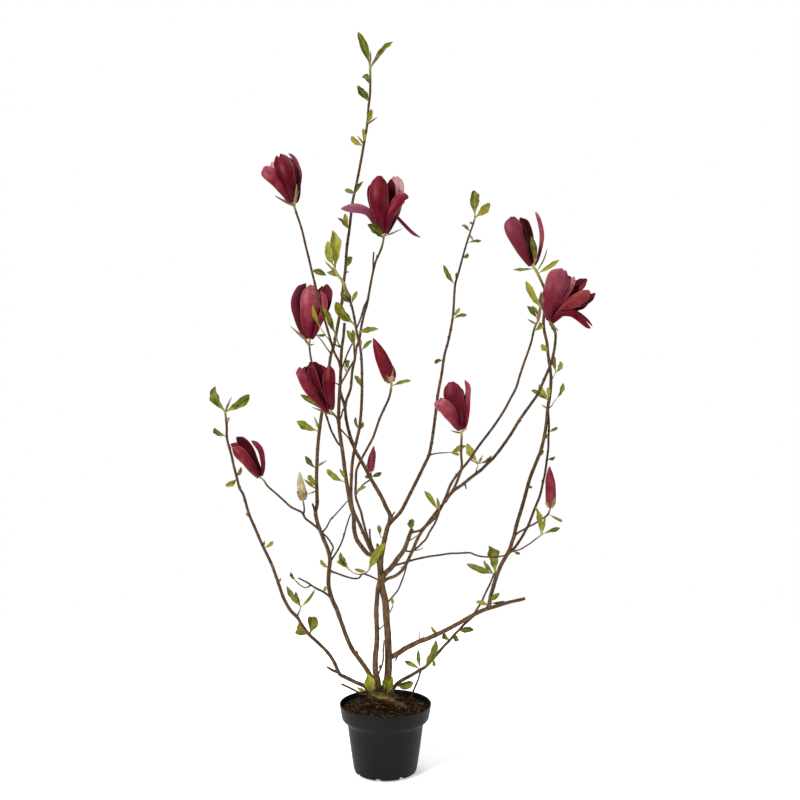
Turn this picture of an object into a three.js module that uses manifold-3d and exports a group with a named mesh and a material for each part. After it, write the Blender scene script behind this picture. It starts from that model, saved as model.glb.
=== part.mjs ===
// A young wine-red magnolia in a black nursery pot, about 1.6 m tall.
// Millimetres, +Z up, the origin at the middle of the pot's underside, the viewer on the -Y side.
//
// The stems, leaves and tepals follow a drawing of the plant: each point of a route is written as
// it was traced, across and down in drawing units, with a depth in millimetres behind the plane
// through the pot's axis where it is known. DRAWING says how a unit becomes millimetres.
import * as THREE from 'three';
import { mergeVertices } from 'three/addons/utils/BufferGeometryUtils.js';
import Module from 'manifold-3d';

// ---------------------------------------------------------------- driving dimensions (mm)
const POT_RIM_RADIUS = 95.5;
const POT_HEIGHT = 142;
const POT_FOOT_RADIUS = 50;
const POT_BASE_RADIUS = 64;
const POT_SKIRT_HEIGHT = 3;
const POT_WALL = 2.2;
const POT_FLOOR = 5.5;
const POT_SIDES = 24;
const DRAIN = { count: 8, firstAngle: -103, length: 21, width: 11, height: 9, reach: 62 };
const SOIL_EDGE_HEIGHT = 132;
const SOIL_MOUND_HEIGHT = 140;
const GAP = 0.3;
const LEAF_THICKNESS = 0.8;
const TEPAL_THICKNESS = 0.9;

// one drawing unit in millimetres, the pot axis and the floor line in the drawing, and the
// viewer's height, sideways place and distance, which set how things behind the plane are placed
const DRAWING = { unit: 2.088, axisU: 385.5, floorV: 770.5, eyeV: 400, eyeU: 400, distance: 2015 };

// ---------------------------------------------------------------- colours
const LEAF_AND_BARK = { color: 0x5f5c2c, roughness: 0.7, metalness: 0 };
const TEPAL = { color: 0x76182f, roughness: 0.55, metalness: 0 };
const FURRY_BUD = { color: 0xb9a873, roughness: 0.9, metalness: 0 };
const POT_PLASTIC = { color: 0x2b2c2e, roughness: 0.5, metalness: 0 };
const COMPOST = { color: 0x2c2019, roughness: 0.97, metalness: 0 };

// ---------------------------------------------------------------- the traced plant
// limb: name, limb it grows from, thickness at its root and tip in mm, points [across, down, depth]
const LIMBS = {
  stem_left: [
    ['left', null, 7.4, 4.2, [[370, 722, -22], [371.5, 706, -19], [370.5, 696, -15], [367.5, 690], [365, 686.5],
      [360, 684], [355, 682], [350, 679.5], [345, 677], [340, 674.5], [338, 671], [335.5, 665],
      [333.5, 661], [331, 657], [328.5, 653.5], [325, 649.5], [315, 640], [310, 635.5], [303, 626.5],
      [297, 617], [291, 611], [284, 599], [279, 585], [275.5, 575], [271.5, 564], [265, 550.5],
      [261, 542], [255, 528], [249, 514], [243, 494], [239.8, 488.6], [236.7, 477], [233.7, 465.6],
      [231.8, 456.5], [229, 446.5], [226.8, 437], [226.8, 428], [226, 419], [225, 411, -95]]],
    ['left_stub', 'left', 5.5, 4.5, [[338.5, 672], [333, 670.5], [327.3, 667]]],
    ['left_twig', 'left', 2.6, 2, [[297, 617], [299, 612], [301, 607]]],
    ['dead_twig', 'left', 3, 1.8, [[369, 697], [363, 694], [358, 692], [350, 688], [341.5, 684, -34]]],
  ],
  stem_inner_left: [
    ['inner', null, 9.6, 6, [[372.5, 724, 15], [373, 706], [374, 694, 15], [375, 684], [370, 675],
      [365, 667], [360, 660], [357, 656], [354, 652], [350, 645], [347, 638], [345, 633], [343, 627],
      [340, 619], [337, 610], [332, 599], [328.6, 585], [329, 571], [330, 560], [328, 550], [324, 540],
      [320, 530], [317, 521], [315.5, 512], [317, 505], [317, 495], [316.5, 480], [317, 462],
      [317.8, 446.5], [319.4, 431], [322, 412, 64], [325, 395], [328, 378], [329.5, 364],
      [331, 354.7], [334, 345], [336, 335, 74]]],
    ['tall', 'inner', 6, 3.6, [[335, 340], [336, 335], [338.5, 321], [341.8, 303], [342.8, 290],
      [344, 280], [345.3, 270], [347, 246], [349.3, 230], [351.2, 213], [352.9, 200], [356, 186],
      [360, 166], [364.4, 141], [367.5, 122], [368.4, 108], [370, 94], [370.3, 80], [370, 64.6, 112]]],
    ['inner_knot', 'inner', 6, 4, [[359, 658.5], [357, 655.5], [357, 651]]],
    ['inner_stub', 'inner', 5, 3.5, [[315.3, 512], [314, 508], [312.3, 503.5]]],
    ['inner_cut', 'inner', 5, 3.2, [[331, 598], [323.5, 592], [315, 587.7], [308, 583], [298.5, 578, 10]]],
    ['inner_cut_side', 'inner_cut', 2.6, 2, [[311, 585], [306, 587.7], [300, 585], [295.4, 580.5]]],
    ['bloom6_stem', 'inner', 5.2, 4, [[319.5, 530], [312, 523.5], [305, 518], [302.5, 513], [291, 507],
      [283.7, 500.4], [275.5, 493], [267, 485.5], [264.3, 481], [259.5, 476.8, 20]]],
    ['bud12_stem', 'bloom6_stem', 3.4, 3.6, [[303.5, 514], [304.3, 510], [303, 500, 34]]],
    ['inner_loop', 'inner', 3.6, 3.4, [[322, 531], [327.6, 538, 56], [333.2, 547.5, 58],
      [332, 551, 50], [330.3, 558, 38]]],
    ['inner_twig_up', 'inner', 3.6, 2.6, [[322, 533], [326, 528], [331, 519], [335, 515],
      [340.8, 508.6], [347.5, 501, 50]]],
    ['inner_twig_long', 'inner', 4, 2.8, [[330.5, 562], [337.8, 550], [342.5, 540], [346.9, 525],
      [350.5, 514, 52]]],
    ['inner_right', 'inner', 4, 3.2, [[329.5, 570.5], [340, 574.5], [350, 577.8], [354, 578.5],
      [359, 578], [361, 575.5], [363, 573.8], [366, 574.5], [370, 576], [375, 579, 22]]],
    ['inner_leafy', 'inner_right', 2.2, 1.8, [[362, 574.5], [357, 574], [353.5, 573], [350, 570],
      [348, 568.5]]],
    ['inner_leafy_front', 'inner_right', 2.4, 2, [[364.5, 574.2], [367, 572], [369.5, 569.5, -17]]],
    ['inner_thin', 'inner', 2.8, 2, [[331, 354], [327, 348.5], [322, 341], [318, 336.5],
      [316, 334.5, 50]]],
  ],
  trunk: [
    ['trunk', null, 13, 12, [[386.5, 724, -2], [386, 706], [385.5, 694, 0], [387.5, 680],
      [388.3, 670], [388.5, 660], [388, 640], [387.5, 630], [386.5, 620], [386, 610], [385, 600],
      [382.5, 590], [381, 580], [380.5, 570], [379.5, 562], [377, 556, 0]]],
    ['twin', null, 9, 8, [[380, 724, -7], [380, 706], [379, 692, -9], [377.5, 680], [375.5, 672],
      [375.5, 655, -9], [376.5, 647], [377, 635], [376.5, 620], [376.3, 610], [377, 600], [378, 588],
      [380.5, 577, 0]]],
    ['twin_side', 'twin', 3.6, 3, [[376.8, 677], [381, 668], [383, 661], [383.3, 650], [384, 640, -16]]],
    ['crown_shoot', 'trunk', 5, 3.5, [[385.7, 699], [384.5, 690, -13], [385.3, 683, -15]]],
    ['twin_link', 'twin', 3, 2.6, [[377, 630.5], [380, 628.5], [385, 624, -3]]],
    ['tiny_side', 'trunk', 2.6, 1.8, [[386.5, 616], [391, 610], [393, 605, -6]]],
    ['thin_rise', 'trunk', 3.6, 3, [[385.5, 605], [391, 598.5], [394, 595], [398, 590], [401, 583],
      [403.5, 576.5], [405.5, 570], [407.5, 562, -12]]],
    ['up_one', 'trunk', 8.5, 5.5, [[378, 558], [372, 555], [368, 554], [365, 551], [360, 544.5],
      [357, 540], [355, 534], [354, 528], [353.5, 515], [350.6, 505], [348.3, 492], [346.4, 481],
      [344.9, 470.6], [343, 455], [340.8, 440], [339.2, 428], [338.7, 413], [339.2, 397.6],
      [340.2, 382], [340.8, 367], [341.7, 348.6], [343.5, 336], [344.5, 323, 36]]],
    ['up_two', 'trunk', 7.2, 4.6, [[378, 557], [372, 552], [369, 546], [365, 537], [362, 530],
      [359, 523], [356, 517], [353.5, 511], [352, 505], [351, 493.6], [351.4, 478], [352.3, 463],
      [354, 452], [356.7, 440], [359, 430], [360.6, 418], [361.5, 405], [362, 390], [362, 377],
      [361.6, 362], [360.6, 350], [358, 338], [356.5, 331], [354.5, 319], [351.4, 305], [349, 299],
      [347, 295, -40]]],
    ['young', 'up_two', 8.5, 3.4, [[348.5, 298], [345, 288], [342.5, 281], [339, 276.5], [335.5, 271],
      [334.5, 264, -46]]],
    ['bloom5_stem', 'trunk', 4.8, 4.2, [[376, 556], [372, 551], [367.4, 537], [362.8, 520], [361, 512],
      [358, 504], [355.6, 496], [355.9, 483], [356.4, 471], [360, 462], [366, 450.7], [372.8, 438],
      [375.9, 429.5], [379.5, 419], [384, 409], [389, 398], [391, 389], [391.4, 382.5, -62]]],
    ['stub_one', 'trunk', 4.2, 3.6, [[377, 557], [371.5, 545], [370, 537], [369.7, 529, -14]]],
    ['stub_two', 'trunk', 5.4, 5, [[379, 560], [377.8, 552], [377.5, 544, -8]]],
    ['up_four', 'trunk', 10, 8, [[379.5, 563], [381.5, 555], [383, 547], [384.5, 540], [386, 533],
      [388, 526], [391, 520, 4]]],
    ['u_sprig', 'up_four', 2, 1.6, [[385, 538], [381, 537], [379.8, 535]]],
    ['v_spur', 'up_four', 3.2, 2.4, [[390.8, 520], [393, 514.5], [394.7, 511.8]]],
    ['fork_left', 'up_four', 8, 5.6, [[391, 521], [390, 515], [386, 507], [382, 498], [376, 487.5],
      [371, 479], [366, 469.5], [361, 460.5], [356, 452], [352.5, 443], [350, 435.5], [348, 428],
      [346, 418], [344.8, 407], [342.5, 399], [340.2, 391, 26]]],
    ['strand_thin', 'up_one', 3, 3, [[339.4, 428], [345, 434], [349, 438.7], [351, 443],
      [355, 450, 14]]],
    ['strand_red', 'fork_left', 3.4, 3, [[344.8, 408], [342.5, 411], [341.5, 416], [339, 421, 24]]],
    ['bloom2_stem', 'fork_left', 5.4, 4.2, [[345, 407], [346.5, 400], [350.5, 389], [351.5, 380],
      [352.6, 369], [354.5, 361], [355.5, 354], [356.5, 347], [359, 341], [360.5, 332], [362, 323],
      [364.5, 313], [367.5, 302], [369, 293], [371, 282], [373, 272], [375.5, 262], [378.5, 255],
      [381.5, 248], [383, 242], [384.5, 233.5, 8]]],
    ['strand_left', 'bloom2_stem', 4.2, 3.4, [[367.8, 299], [364, 307], [362, 314], [360, 320],
      [356.3, 329, -28]]],
    ['stub_three', 'bloom2_stem', 3.4, 3, [[373.3, 270], [373.2, 260], [373.8, 252]]],
    ['branch_a', 'up_one', 3.4, 3, [[340.8, 372], [344, 363], [347.3, 354], [352, 344, 22]]],
    ['branch_b', 'up_one', 3.8, 3.4, [[340.2, 385], [344.5, 377.5], [349, 369], [354.3, 360, 18]]],
    ['branch_c', 'bloom2_stem', 3.8, 3, [[355, 358], [354, 350], [354.3, 343], [354.5, 336]]],
    ['spur_four', 'up_one', 2.4, 2, [[340, 385.5], [337, 383.8], [333.5, 382]]],
    ['bloom1_stem', 'up_one', 4.8, 4, [[340.8, 367], [338.2, 360], [335, 354], [332.5, 347],
      [330.5, 340], [326.5, 326], [323, 314], [320, 305], [317.5, 295], [316, 288], [313.5, 278],
      [311.3, 269], [308.9, 258.6], [305.5, 245], [302.5, 232], [299.5, 222], [297, 215],
      [294.8, 208], [292.6, 202.5, -12]]],
    ['link_one', 'up_one', 3, 3, [[341.8, 347], [338.5, 346.5], [335, 344.5], [331.5, 344, 31]]],
    ['link_two', 'link_one', 2.6, 2.2, [[340, 346.7], [337.8, 342], [336.3, 337], [335.3, 334]]],
    ['leaf_stalk', 'bloom1_stem', 2.4, 2, [[332, 345], [329, 339.5], [325.5, 335.5], [322, 330],
      [319, 325.5, 22]]],
    ['bloom3_stem', 'up_one', 4.2, 4, [[341.5, 446], [338, 443], [334.5, 437], [331, 430], [328, 421],
      [325, 412, 42], [320, 395, 58], [315, 376], [311.3, 360], [309.7, 350], [309.5, 345],
      [309.9, 338.5, 86]]],
    ['bloom4_stem', 'up_one', 4.4, 4, [[339.2, 429], [338, 423], [336.8, 418], [334, 414.5],
      [330.5, 410.5, -34]]],
    ['bud11_stem', 'bloom5_stem', 3, 3, [[355.6, 495], [359, 490], [362.3, 485.5], [366, 482.5],
      [369.5, 480], [371, 476.5], [370.7, 471.5, 38]]],
    ['v_stem', 'up_four', 7.2, 3.8, [[389.8, 523], [394, 519], [398, 515], [401.5, 510.5], [406, 502],
      [409, 496], [412, 490], [416.5, 481], [419.5, 475], [424.8, 464], [429, 455], [431.5, 443],
      [433.2, 432], [434.8, 420], [436, 410], [437.4, 398], [439, 388], [441.5, 375], [444.5, 355],
      [448.5, 340], [451.5, 325], [453.3, 312], [454.3, 295], [455.3, 284], [459, 271], [463, 256],
      [467, 242], [471, 230], [473.5, 223], [475.3, 216.5, 48]]],
    ['v_twig', 'v_stem', 3.2, 2.2, [[429, 455], [437, 453.3], [444, 452.8], [451, 452.5]]],
    ['right_bough', 'trunk', 10.5, 7, [[381, 579], [386, 572.5], [390, 569], [394, 564], [398, 558],
      [402, 553], [405, 548], [407.5, 541], [410, 534], [412, 529, -22]]],
    ['rb_tiny', 'right_bough', 2.4, 1.6, [[407.5, 541.5], [413, 538.5], [417, 535.5]]],
    ['bough_one', 'right_bough', 4.6, 4.4, [[410.5, 532.5], [416, 531.5], [420, 530.3], [424, 527],
      [430, 519.5], [435, 513], [439, 508], [444, 502.5], [447, 498, -34]]],
    ['low_limb', 'trunk', 7, 5.8, [[381.5, 583], [388, 578.5], [394, 576.5], [401, 571.5], [405, 566],
      [407.5, 561.5], [410, 556], [413, 549.5], [416, 542], [419, 536], [422, 531], [426, 526],
      [430, 522.5], [435, 517.5], [439, 511], [443, 504], [446.5, 498.5, -34]]],
    ['low_tiny', 'low_limb', 2.4, 1.6, [[412.5, 550.5], [418, 550], [423, 548]]],
    ['bough_three', 'low_limb', 4.2, 3.8, [[412.5, 551], [418, 547], [422, 543], [426, 539],
      [429, 533], [432, 528], [435, 523], [437.5, 517], [440.5, 508.5, -31]]],
    ['link_three', 'right_bough', 3.6, 3.2, [[404, 550], [409, 551.5], [413, 550, -16]]],
    ['long_twig', 'right_bough', 4.4, 2.6, [[393, 565.5], [400, 564], [410, 560.8], [420, 558.3],
      [430, 556.3], [440, 555], [450, 553.5], [460, 553.2], [466, 552.7], [471, 553], [475, 554.8],
      [480, 556.2], [485, 556.8], [496, 557], [505, 555.3], [510, 552.5], [515, 550.6], [520, 549.5],
      [526, 546], [530, 543.5], [535, 539.5], [540, 536], [542.5, 534, -16]]],
    ['bloom7_stem', 'bough_one', 5, 4.4, [[445, 501], [451, 493], [455, 486], [458, 479],
      [460.5, 472], [461.8, 465], [461.2, 455], [461.3, 445], [461.6, 437], [461.6, 429.5, -72]]],
    ['q_stem', 'bough_one', 5.2, 3.8, [[443.5, 503], [447, 494], [450, 486], [454, 479], [459, 472.5],
      [464, 466.5], [470, 459], [475, 451.5], [481, 443], [488, 434], [495, 424.5], [500, 417],
      [505, 409], [510, 399.5], [516, 388], [520, 375], [524, 363], [528, 352], [531.5, 341],
      [533.5, 332], [535.5, 325.5], [538.5, 320], [540.3, 312], [541, 305, -66]]],
    ['bloom9_stem', 'low_limb', 6, 4.6, [[444.5, 501.5], [450, 494.5], [455, 489.5], [460, 486.3],
      [465, 482.5], [471, 477.5], [476, 473.8], [481, 470], [487, 464], [493, 458.3], [499, 451],
      [505, 442.7], [511, 434], [517, 424], [522, 416.3], [528, 408], [533, 401], [537.5, 394.5],
      [541, 387], [544, 380], [547, 373], [550, 366], [552.3, 358.5], [554, 351], [555.2, 343],
      [555.5, 334], [554, 328], [551.3, 322, -8]]],
    ['w_leafy', 'bloom9_stem', 2.8, 2, [[475, 474.5], [477, 468.5], [478, 463.5]]],
    ['q_pink', 'q_stem', 2.4, 1.8, [[470, 459], [474, 461.5], [477, 463.5]]],
    ['w_spur', 'bloom9_stem', 3, 2.2, [[464.5, 483], [465.5, 486], [466.3, 489]]],
  ],
  stem_right: [
    ['right_low', null, 5.6, 4.4, [[396.5, 724, 17], [396.5, 706], [395.5, 695, 17], [397, 686],
      [400, 681], [405, 678.5], [410, 676], [415, 673], [420, 670], [425, 667], [430, 662],
      [437, 654], [441, 649.5], [445, 645], [450, 640], [455, 634], [460, 629], [464, 624.5],
      [468, 621], [475, 614.5, 24]]],
    ['right_prop', 'right_low', 3.4, 3.8, [[421, 669.5], [418, 680], [415, 687], [413, 692],
      [411, 697], [407, 703], [404.5, 712], [404, 722, 12]]],
    ['right_arm', null, 8.8, 5.4, [[388, 658, 2], [393, 656], [400, 652], [405, 648.5], [410, 646],
      [415, 643.5], [420, 641], [425, 639.5], [430, 637.5], [440, 633], [450, 628], [460, 622.5],
      [470, 617], [475, 614, 24], [480, 611.5], [485, 609.5], [490, 608], [500, 605], [510, 602],
      [520, 599.8], [525, 598.5, 34]]],
    ['arm_stub', 'right_arm', 4, 3.4, [[398.5, 653], [397, 657], [395.5, 660.5, -4]]],
    ['arm_sprig', 'right_arm', 2.2, 1.6, [[420, 641], [419.7, 636], [419.5, 631]]],
    ['arm_sprig_two', 'right_arm', 1.8, 1.4, [[421, 640.5], [424, 635.5]]],
    ['right_rise', 'right_arm', 7.2, 4.8, [[488.5, 608.5], [490, 600], [491.3, 594], [493, 588],
      [495, 581], [497, 575], [500, 567.5], [503.5, 560.5], [506, 556.5, 40], [508, 552.5],
      [510.3, 548], [512, 542], [514, 536.5], [516, 527], [518, 520], [520, 513.5], [522, 507],
      [524, 500], [526, 492.5], [528.5, 483], [531.5, 474], [534.5, 466.5], [537.5, 459],
      [540.5, 451.5], [543.5, 440], [545.3, 431], [546.7, 420], [548, 406, 62], [549.5, 398],
      [550.6, 388], [551, 378], [550.2, 369], [548.8, 360], [547.6, 350], [546.8, 342],
      [544.6, 332.5, 66], [543.5, 322], [545, 305, 72], [545.3, 292], [543, 285], [540.5, 279.5],
      [537, 272.5], [532.6, 265.5, 60]]],
    ['right_slim', 'right_arm', 4, 3.4, [[474, 615], [479, 606], [481.3, 603], [483.5, 597.5],
      [486, 592], [489, 586], [491.5, 580.5], [494, 574.5], [499.5, 568.5, 36]]],
    ['right_mate', 'right_rise', 5.6, 4, [[507.5, 554], [513, 549.5], [516, 546], [519, 541.5],
      [522, 537], [525, 531.5], [528, 526], [530, 521], [532.5, 514.5], [534.5, 509], [537, 503],
      [539.5, 497], [541.5, 489.5], [543, 482, 68], [544.7, 475], [545.8, 468], [546.7, 461],
      [547.5, 455], [548.3, 448], [548.5, 438], [549, 426], [548, 407, 62]]],
    ['bud10_stem', 'right_rise', 4.2, 3.8, [[514.3, 535.5], [520, 531.5], [525, 529], [530, 526],
      [535, 523.5], [540, 520], [545, 517], [548, 514.3], [550.5, 507.5, 18]]],
    ['right_stalk', 'right_rise', 2.4, 1.8, [[547.8, 409], [551, 406.5], [554, 402], [557, 398]]],
    ['right_stalk_two', 'right_rise', 2.2, 1.8, [[551, 381], [553.5, 376.5], [556, 372]]],
  ],
};

// leaf: limb, root across and down, tip across and down, width, tip's depth against the root's in mm
const LEAVES = {
  stem_left: [
    ['left', 225.5, 411, 215.3, 386, 9], ['left', 226, 412, 249.3, 394.5, 8],
    ['left', 226.5, 423, 229.5, 417, 2.5], ['left', 226.8, 436.5, 213.4, 429, 5],
    ['left', 236.7, 477, 241, 467, 3.5], ['left', 236.8, 478.5, 225.6, 486, 5],
    ['left', 250, 517, 245.5, 513, 2.5], ['left', 278.5, 583, 281, 578, 2.5],
    ['left', 263, 546.5, 264.5, 540.5, 2.5], ['left', 263.5, 548, 273.5, 541.5, 3.5],
    ['left_twig', 301, 607, 286.7, 586, 5], ['left_twig', 300, 604.5, 295.4, 592, 4],
    ['left_twig', 301, 607, 315, 589, 3], ['left', 311, 637, 299, 623, 8, 24],
    ['left', 311.5, 637, 313, 617.5, 7, 30], ['left', 369.8, 695, 368, 674, 10, -16],
    ['left', 367.5, 690.5, 357, 687, 3.5, -10],
  ],
  stem_inner_left: [
    ['inner_leafy', 348.5, 568.5, 340.5, 552, 6.5], ['inner_leafy', 348, 568.5, 336.8, 561, 3.5],
    ['inner_leafy_front', 367, 572, 354.5, 569, 3.5, -8],
    ['inner_leafy_front', 369, 570, 385.5, 543, 9.5, -16],
    ['inner_leafy_front', 369, 570, 370.3, 557, 3, -6], ['inner', 317, 469, 305.2, 456, 5],
    ['inner', 316.5, 488, 308.5, 475, 5.5], ['inner', 316.5, 490, 304, 479.4, 3],
    ['inner', 319.5, 431.5, 296.8, 421.3, 8], ['inner', 319.5, 430, 314, 416.5, 2.5],
    ['inner', 317, 467, 327, 460, 2.5], ['inner', 329, 569, 320.5, 560, 4],
    ['inner_cut', 323.5, 592, 325.5, 586, 3], ['inner_cut_side', 295.4, 580.5, 290.8, 571.8, 3.5],
    ['inner_thin', 316, 334.5, 325, 335.5, 3], ['tall', 370, 65.5, 358, 32, 8.5],
    ['tall', 370, 69, 393, 41.7, 6.5], ['tall', 370.3, 86, 363, 75.5, 7],
    ['tall', 369.5, 102, 357.5, 85.5, 5], ['tall', 369, 102, 364.5, 92, 3.5],
    ['tall', 368, 125, 371, 109, 4.5], ['tall', 364, 146.5, 351, 136.7, 5.5],
    ['tall', 364, 145, 363, 128.4, 4.5], ['tall', 354.5, 193, 344.6, 190, 5],
    ['tall', 354, 196, 363.7, 181.5, 4], ['tall', 349.3, 230, 337, 218, 4.5],
    ['tall', 349.3, 229.5, 345, 213.5, 5], ['tall', 345.5, 268.5, 351, 256.5, 5.5],
  ],
  trunk: [
    ['trunk', 386.5, 694, 392, 677, 8, -24], ['twin_side', 382, 666, 378.5, 667.5, 4, -8],
    ['tiny_side', 393, 605, 392, 597, 3], ['up_one', 345.8, 483, 326.9, 469.5, 6],
    ['up_one', 345.5, 482, 339.5, 469, 3], ['bloom5_stem', 355.8, 493, 366, 486.5, 3],
    ['bud11_stem', 371, 477, 381.6, 472.5, 4.5, 4], ['bud11_stem', 370.5, 478, 364.8, 476, 3.5],
    ['up_two', 359, 430, 355.5, 417, 3], ['up_two', 358.8, 431, 362.8, 421.5, 3.5],
    ['up_two', 356.7, 332, 378.5, 329, 5.5], ['up_two', 360.7, 351, 371.8, 340.4, 4],
    ['up_two', 360.3, 348, 361, 339.5, 2.5], ['up_two', 355.5, 325, 335.7, 302, 9],
    ['branch_c', 354, 347, 346.8, 330, 5], ['branch_c', 354.3, 344, 352.5, 329.5, 4.5],
    ['branch_b', 348.5, 370, 348, 360, 5], ['up_two', 362, 389, 355, 375.5, 4.5],
    ['up_two', 350.8, 303.5, 340.5, 292.5, 5], ['up_two', 351, 304.5, 357, 291.5, 4],
    ['young', 335, 268, 331.5, 230.3, 11, -24], ['young', 334.8, 267, 328.6, 241.5, 6, -6],
    ['young', 340, 278, 327, 272.5, 5], ['bloom1_stem', 311.5, 270, 326, 275.5, 6],
    ['leaf_stalk', 319, 326, 313, 304.7, 4.5, -14],
    ['link_two', 335.5, 335, 322.5, 307.5, 5.5, -14], ['link_two', 335, 334, 328, 310.8, 5, -4],
    ['bloom3_stem', 309.6, 344, 289.7, 325.6, 3, -10],
    ['bloom4_stem', 336, 417, 300.4, 394.5, 5.5, 52], ['bloom5_stem', 391.2, 386, 411, 380.5, 3.5],
    ['bloom2_stem', 383.3, 239, 367.5, 224.5, 9, -36],
    ['bloom1_stem', 295.8, 211, 274.4, 195.5, 2.6, -34], ['v_stem', 475.2, 217.5, 474.5, 190.5, 10],
    ['v_stem', 475.2, 217.5, 490, 203, 8], ['v_stem', 473, 224, 469.5, 222, 2.5],
    ['v_stem', 470.3, 232, 461.5, 225, 3.5], ['v_stem', 469.5, 234.5, 473.5, 240.5, 2.5],
    ['v_stem', 467, 243, 481.5, 241, 3], ['v_stem', 462.5, 258, 468.5, 254, 4],
    ['v_stem', 455.2, 285, 443.5, 265, 4.5], ['v_stem', 456, 282, 457, 272.5, 3],
    ['v_stem', 453, 317, 460, 307.5, 3.5], ['v_stem', 453, 319.5, 467, 315, 3.5],
    ['v_stem', 443.8, 360.5, 434.5, 363, 4], ['v_twig', 451, 452.5, 466, 446, 5.5],
    ['v_twig', 450, 452.5, 459.5, 454.8, 3], ['u_sprig', 380, 535, 378, 525, 4],
    ['right_bough', 411.8, 530, 412.5, 519, 6], ['low_limb', 439, 511, 424, 491, 5],
    ['low_limb', 439, 511, 437, 497.5, 3], ['w_leafy', 478, 463.5, 467, 443.5, 7],
    ['w_leafy', 478, 464, 491.5, 455.5, 2.8], ['q_stem', 540.8, 308, 525.5, 281, 6],
    ['q_stem', 538.7, 319.5, 527, 306, 4.5], ['q_stem', 538.8, 319, 532, 305.5, 3],
    ['q_stem', 541, 307, 541.3, 291.5, 5], ['q_stem', 533.6, 331, 541.5, 323, 5],
    ['bloom9_stem', 555.3, 333, 547.8, 319.5, 3.5, -34], ['long_twig', 542.3, 534, 560, 528, 4],
    ['long_twig', 541.5, 535, 535, 506.5, 6], ['long_twig', 542.3, 534.3, 545.5, 517, 3],
    ['long_twig', 513, 551.3, 520, 553.5, 3],
  ],
  stem_right: [
    ['right_arm', 438.5, 633.5, 431.5, 626, 3.5], ['right_slim', 495.5, 572.5, 488.3, 546, 11.5],
    ['right_slim', 494.5, 574, 466.5, 564, 6.5], ['right_slim', 494, 574.5, 484, 560, 4],
    ['right_rise', 489.3, 605.5, 476, 601.5, 4], ['right_rise', 490, 602, 499.5, 593, 4.5],
    ['right_rise', 489.7, 603.5, 505, 601.5, 3], ['right_rise', 528, 486, 532.5, 487.5, 3],
    ['right_rise', 537.5, 459, 543.5, 450, 4], ['right_mate', 546.9, 459.5, 555, 456.5, 3.5],
    ['right_mate', 548.5, 440, 543.5, 431.5, 4], ['right_mate', 548.8, 432.5, 557.5, 427.5, 3.5],
    ['right_stalk', 556.5, 399, 563.5, 383, 4.5], ['right_rise', 549.3, 399.5, 539, 384, 5],
    ['right_rise', 549, 401, 531.5, 390, 5.5], ['right_rise', 549.5, 399, 547.5, 387, 4],
    ['right_stalk_two', 556, 372.5, 553.5, 355, 5],
    ['right_stalk_two', 555.5, 373, 561, 361.5, 5.5], ['right_rise', 547.8, 352, 541.5, 344, 6],
    ['bud10_stem', 548.5, 514, 562.5, 521.5, 3], ['right_low', 424.5, 667.3, 436, 639.5, 5.5],
    ['right_low', 421, 669.5, 418.5, 650, 4.5], ['right_low', 419, 670.5, 404.5, 661.5, 4],
    ['right_low', 433, 658.5, 434.5, 667, 3.5], ['right_low', 450, 640, 443, 634, 4],
    ['right_low', 455, 634.5, 458.5, 641, 4], ['right_low', 458, 631, 474, 631, 4.5],
    ['right_low', 397.5, 685.5, 412, 681.5, 5], ['right_rise', 537.5, 273.5, 559.3, 260, 5],
    ['right_rise', 534.5, 268.5, 513, 269.5, 3],
  ],
};

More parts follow.
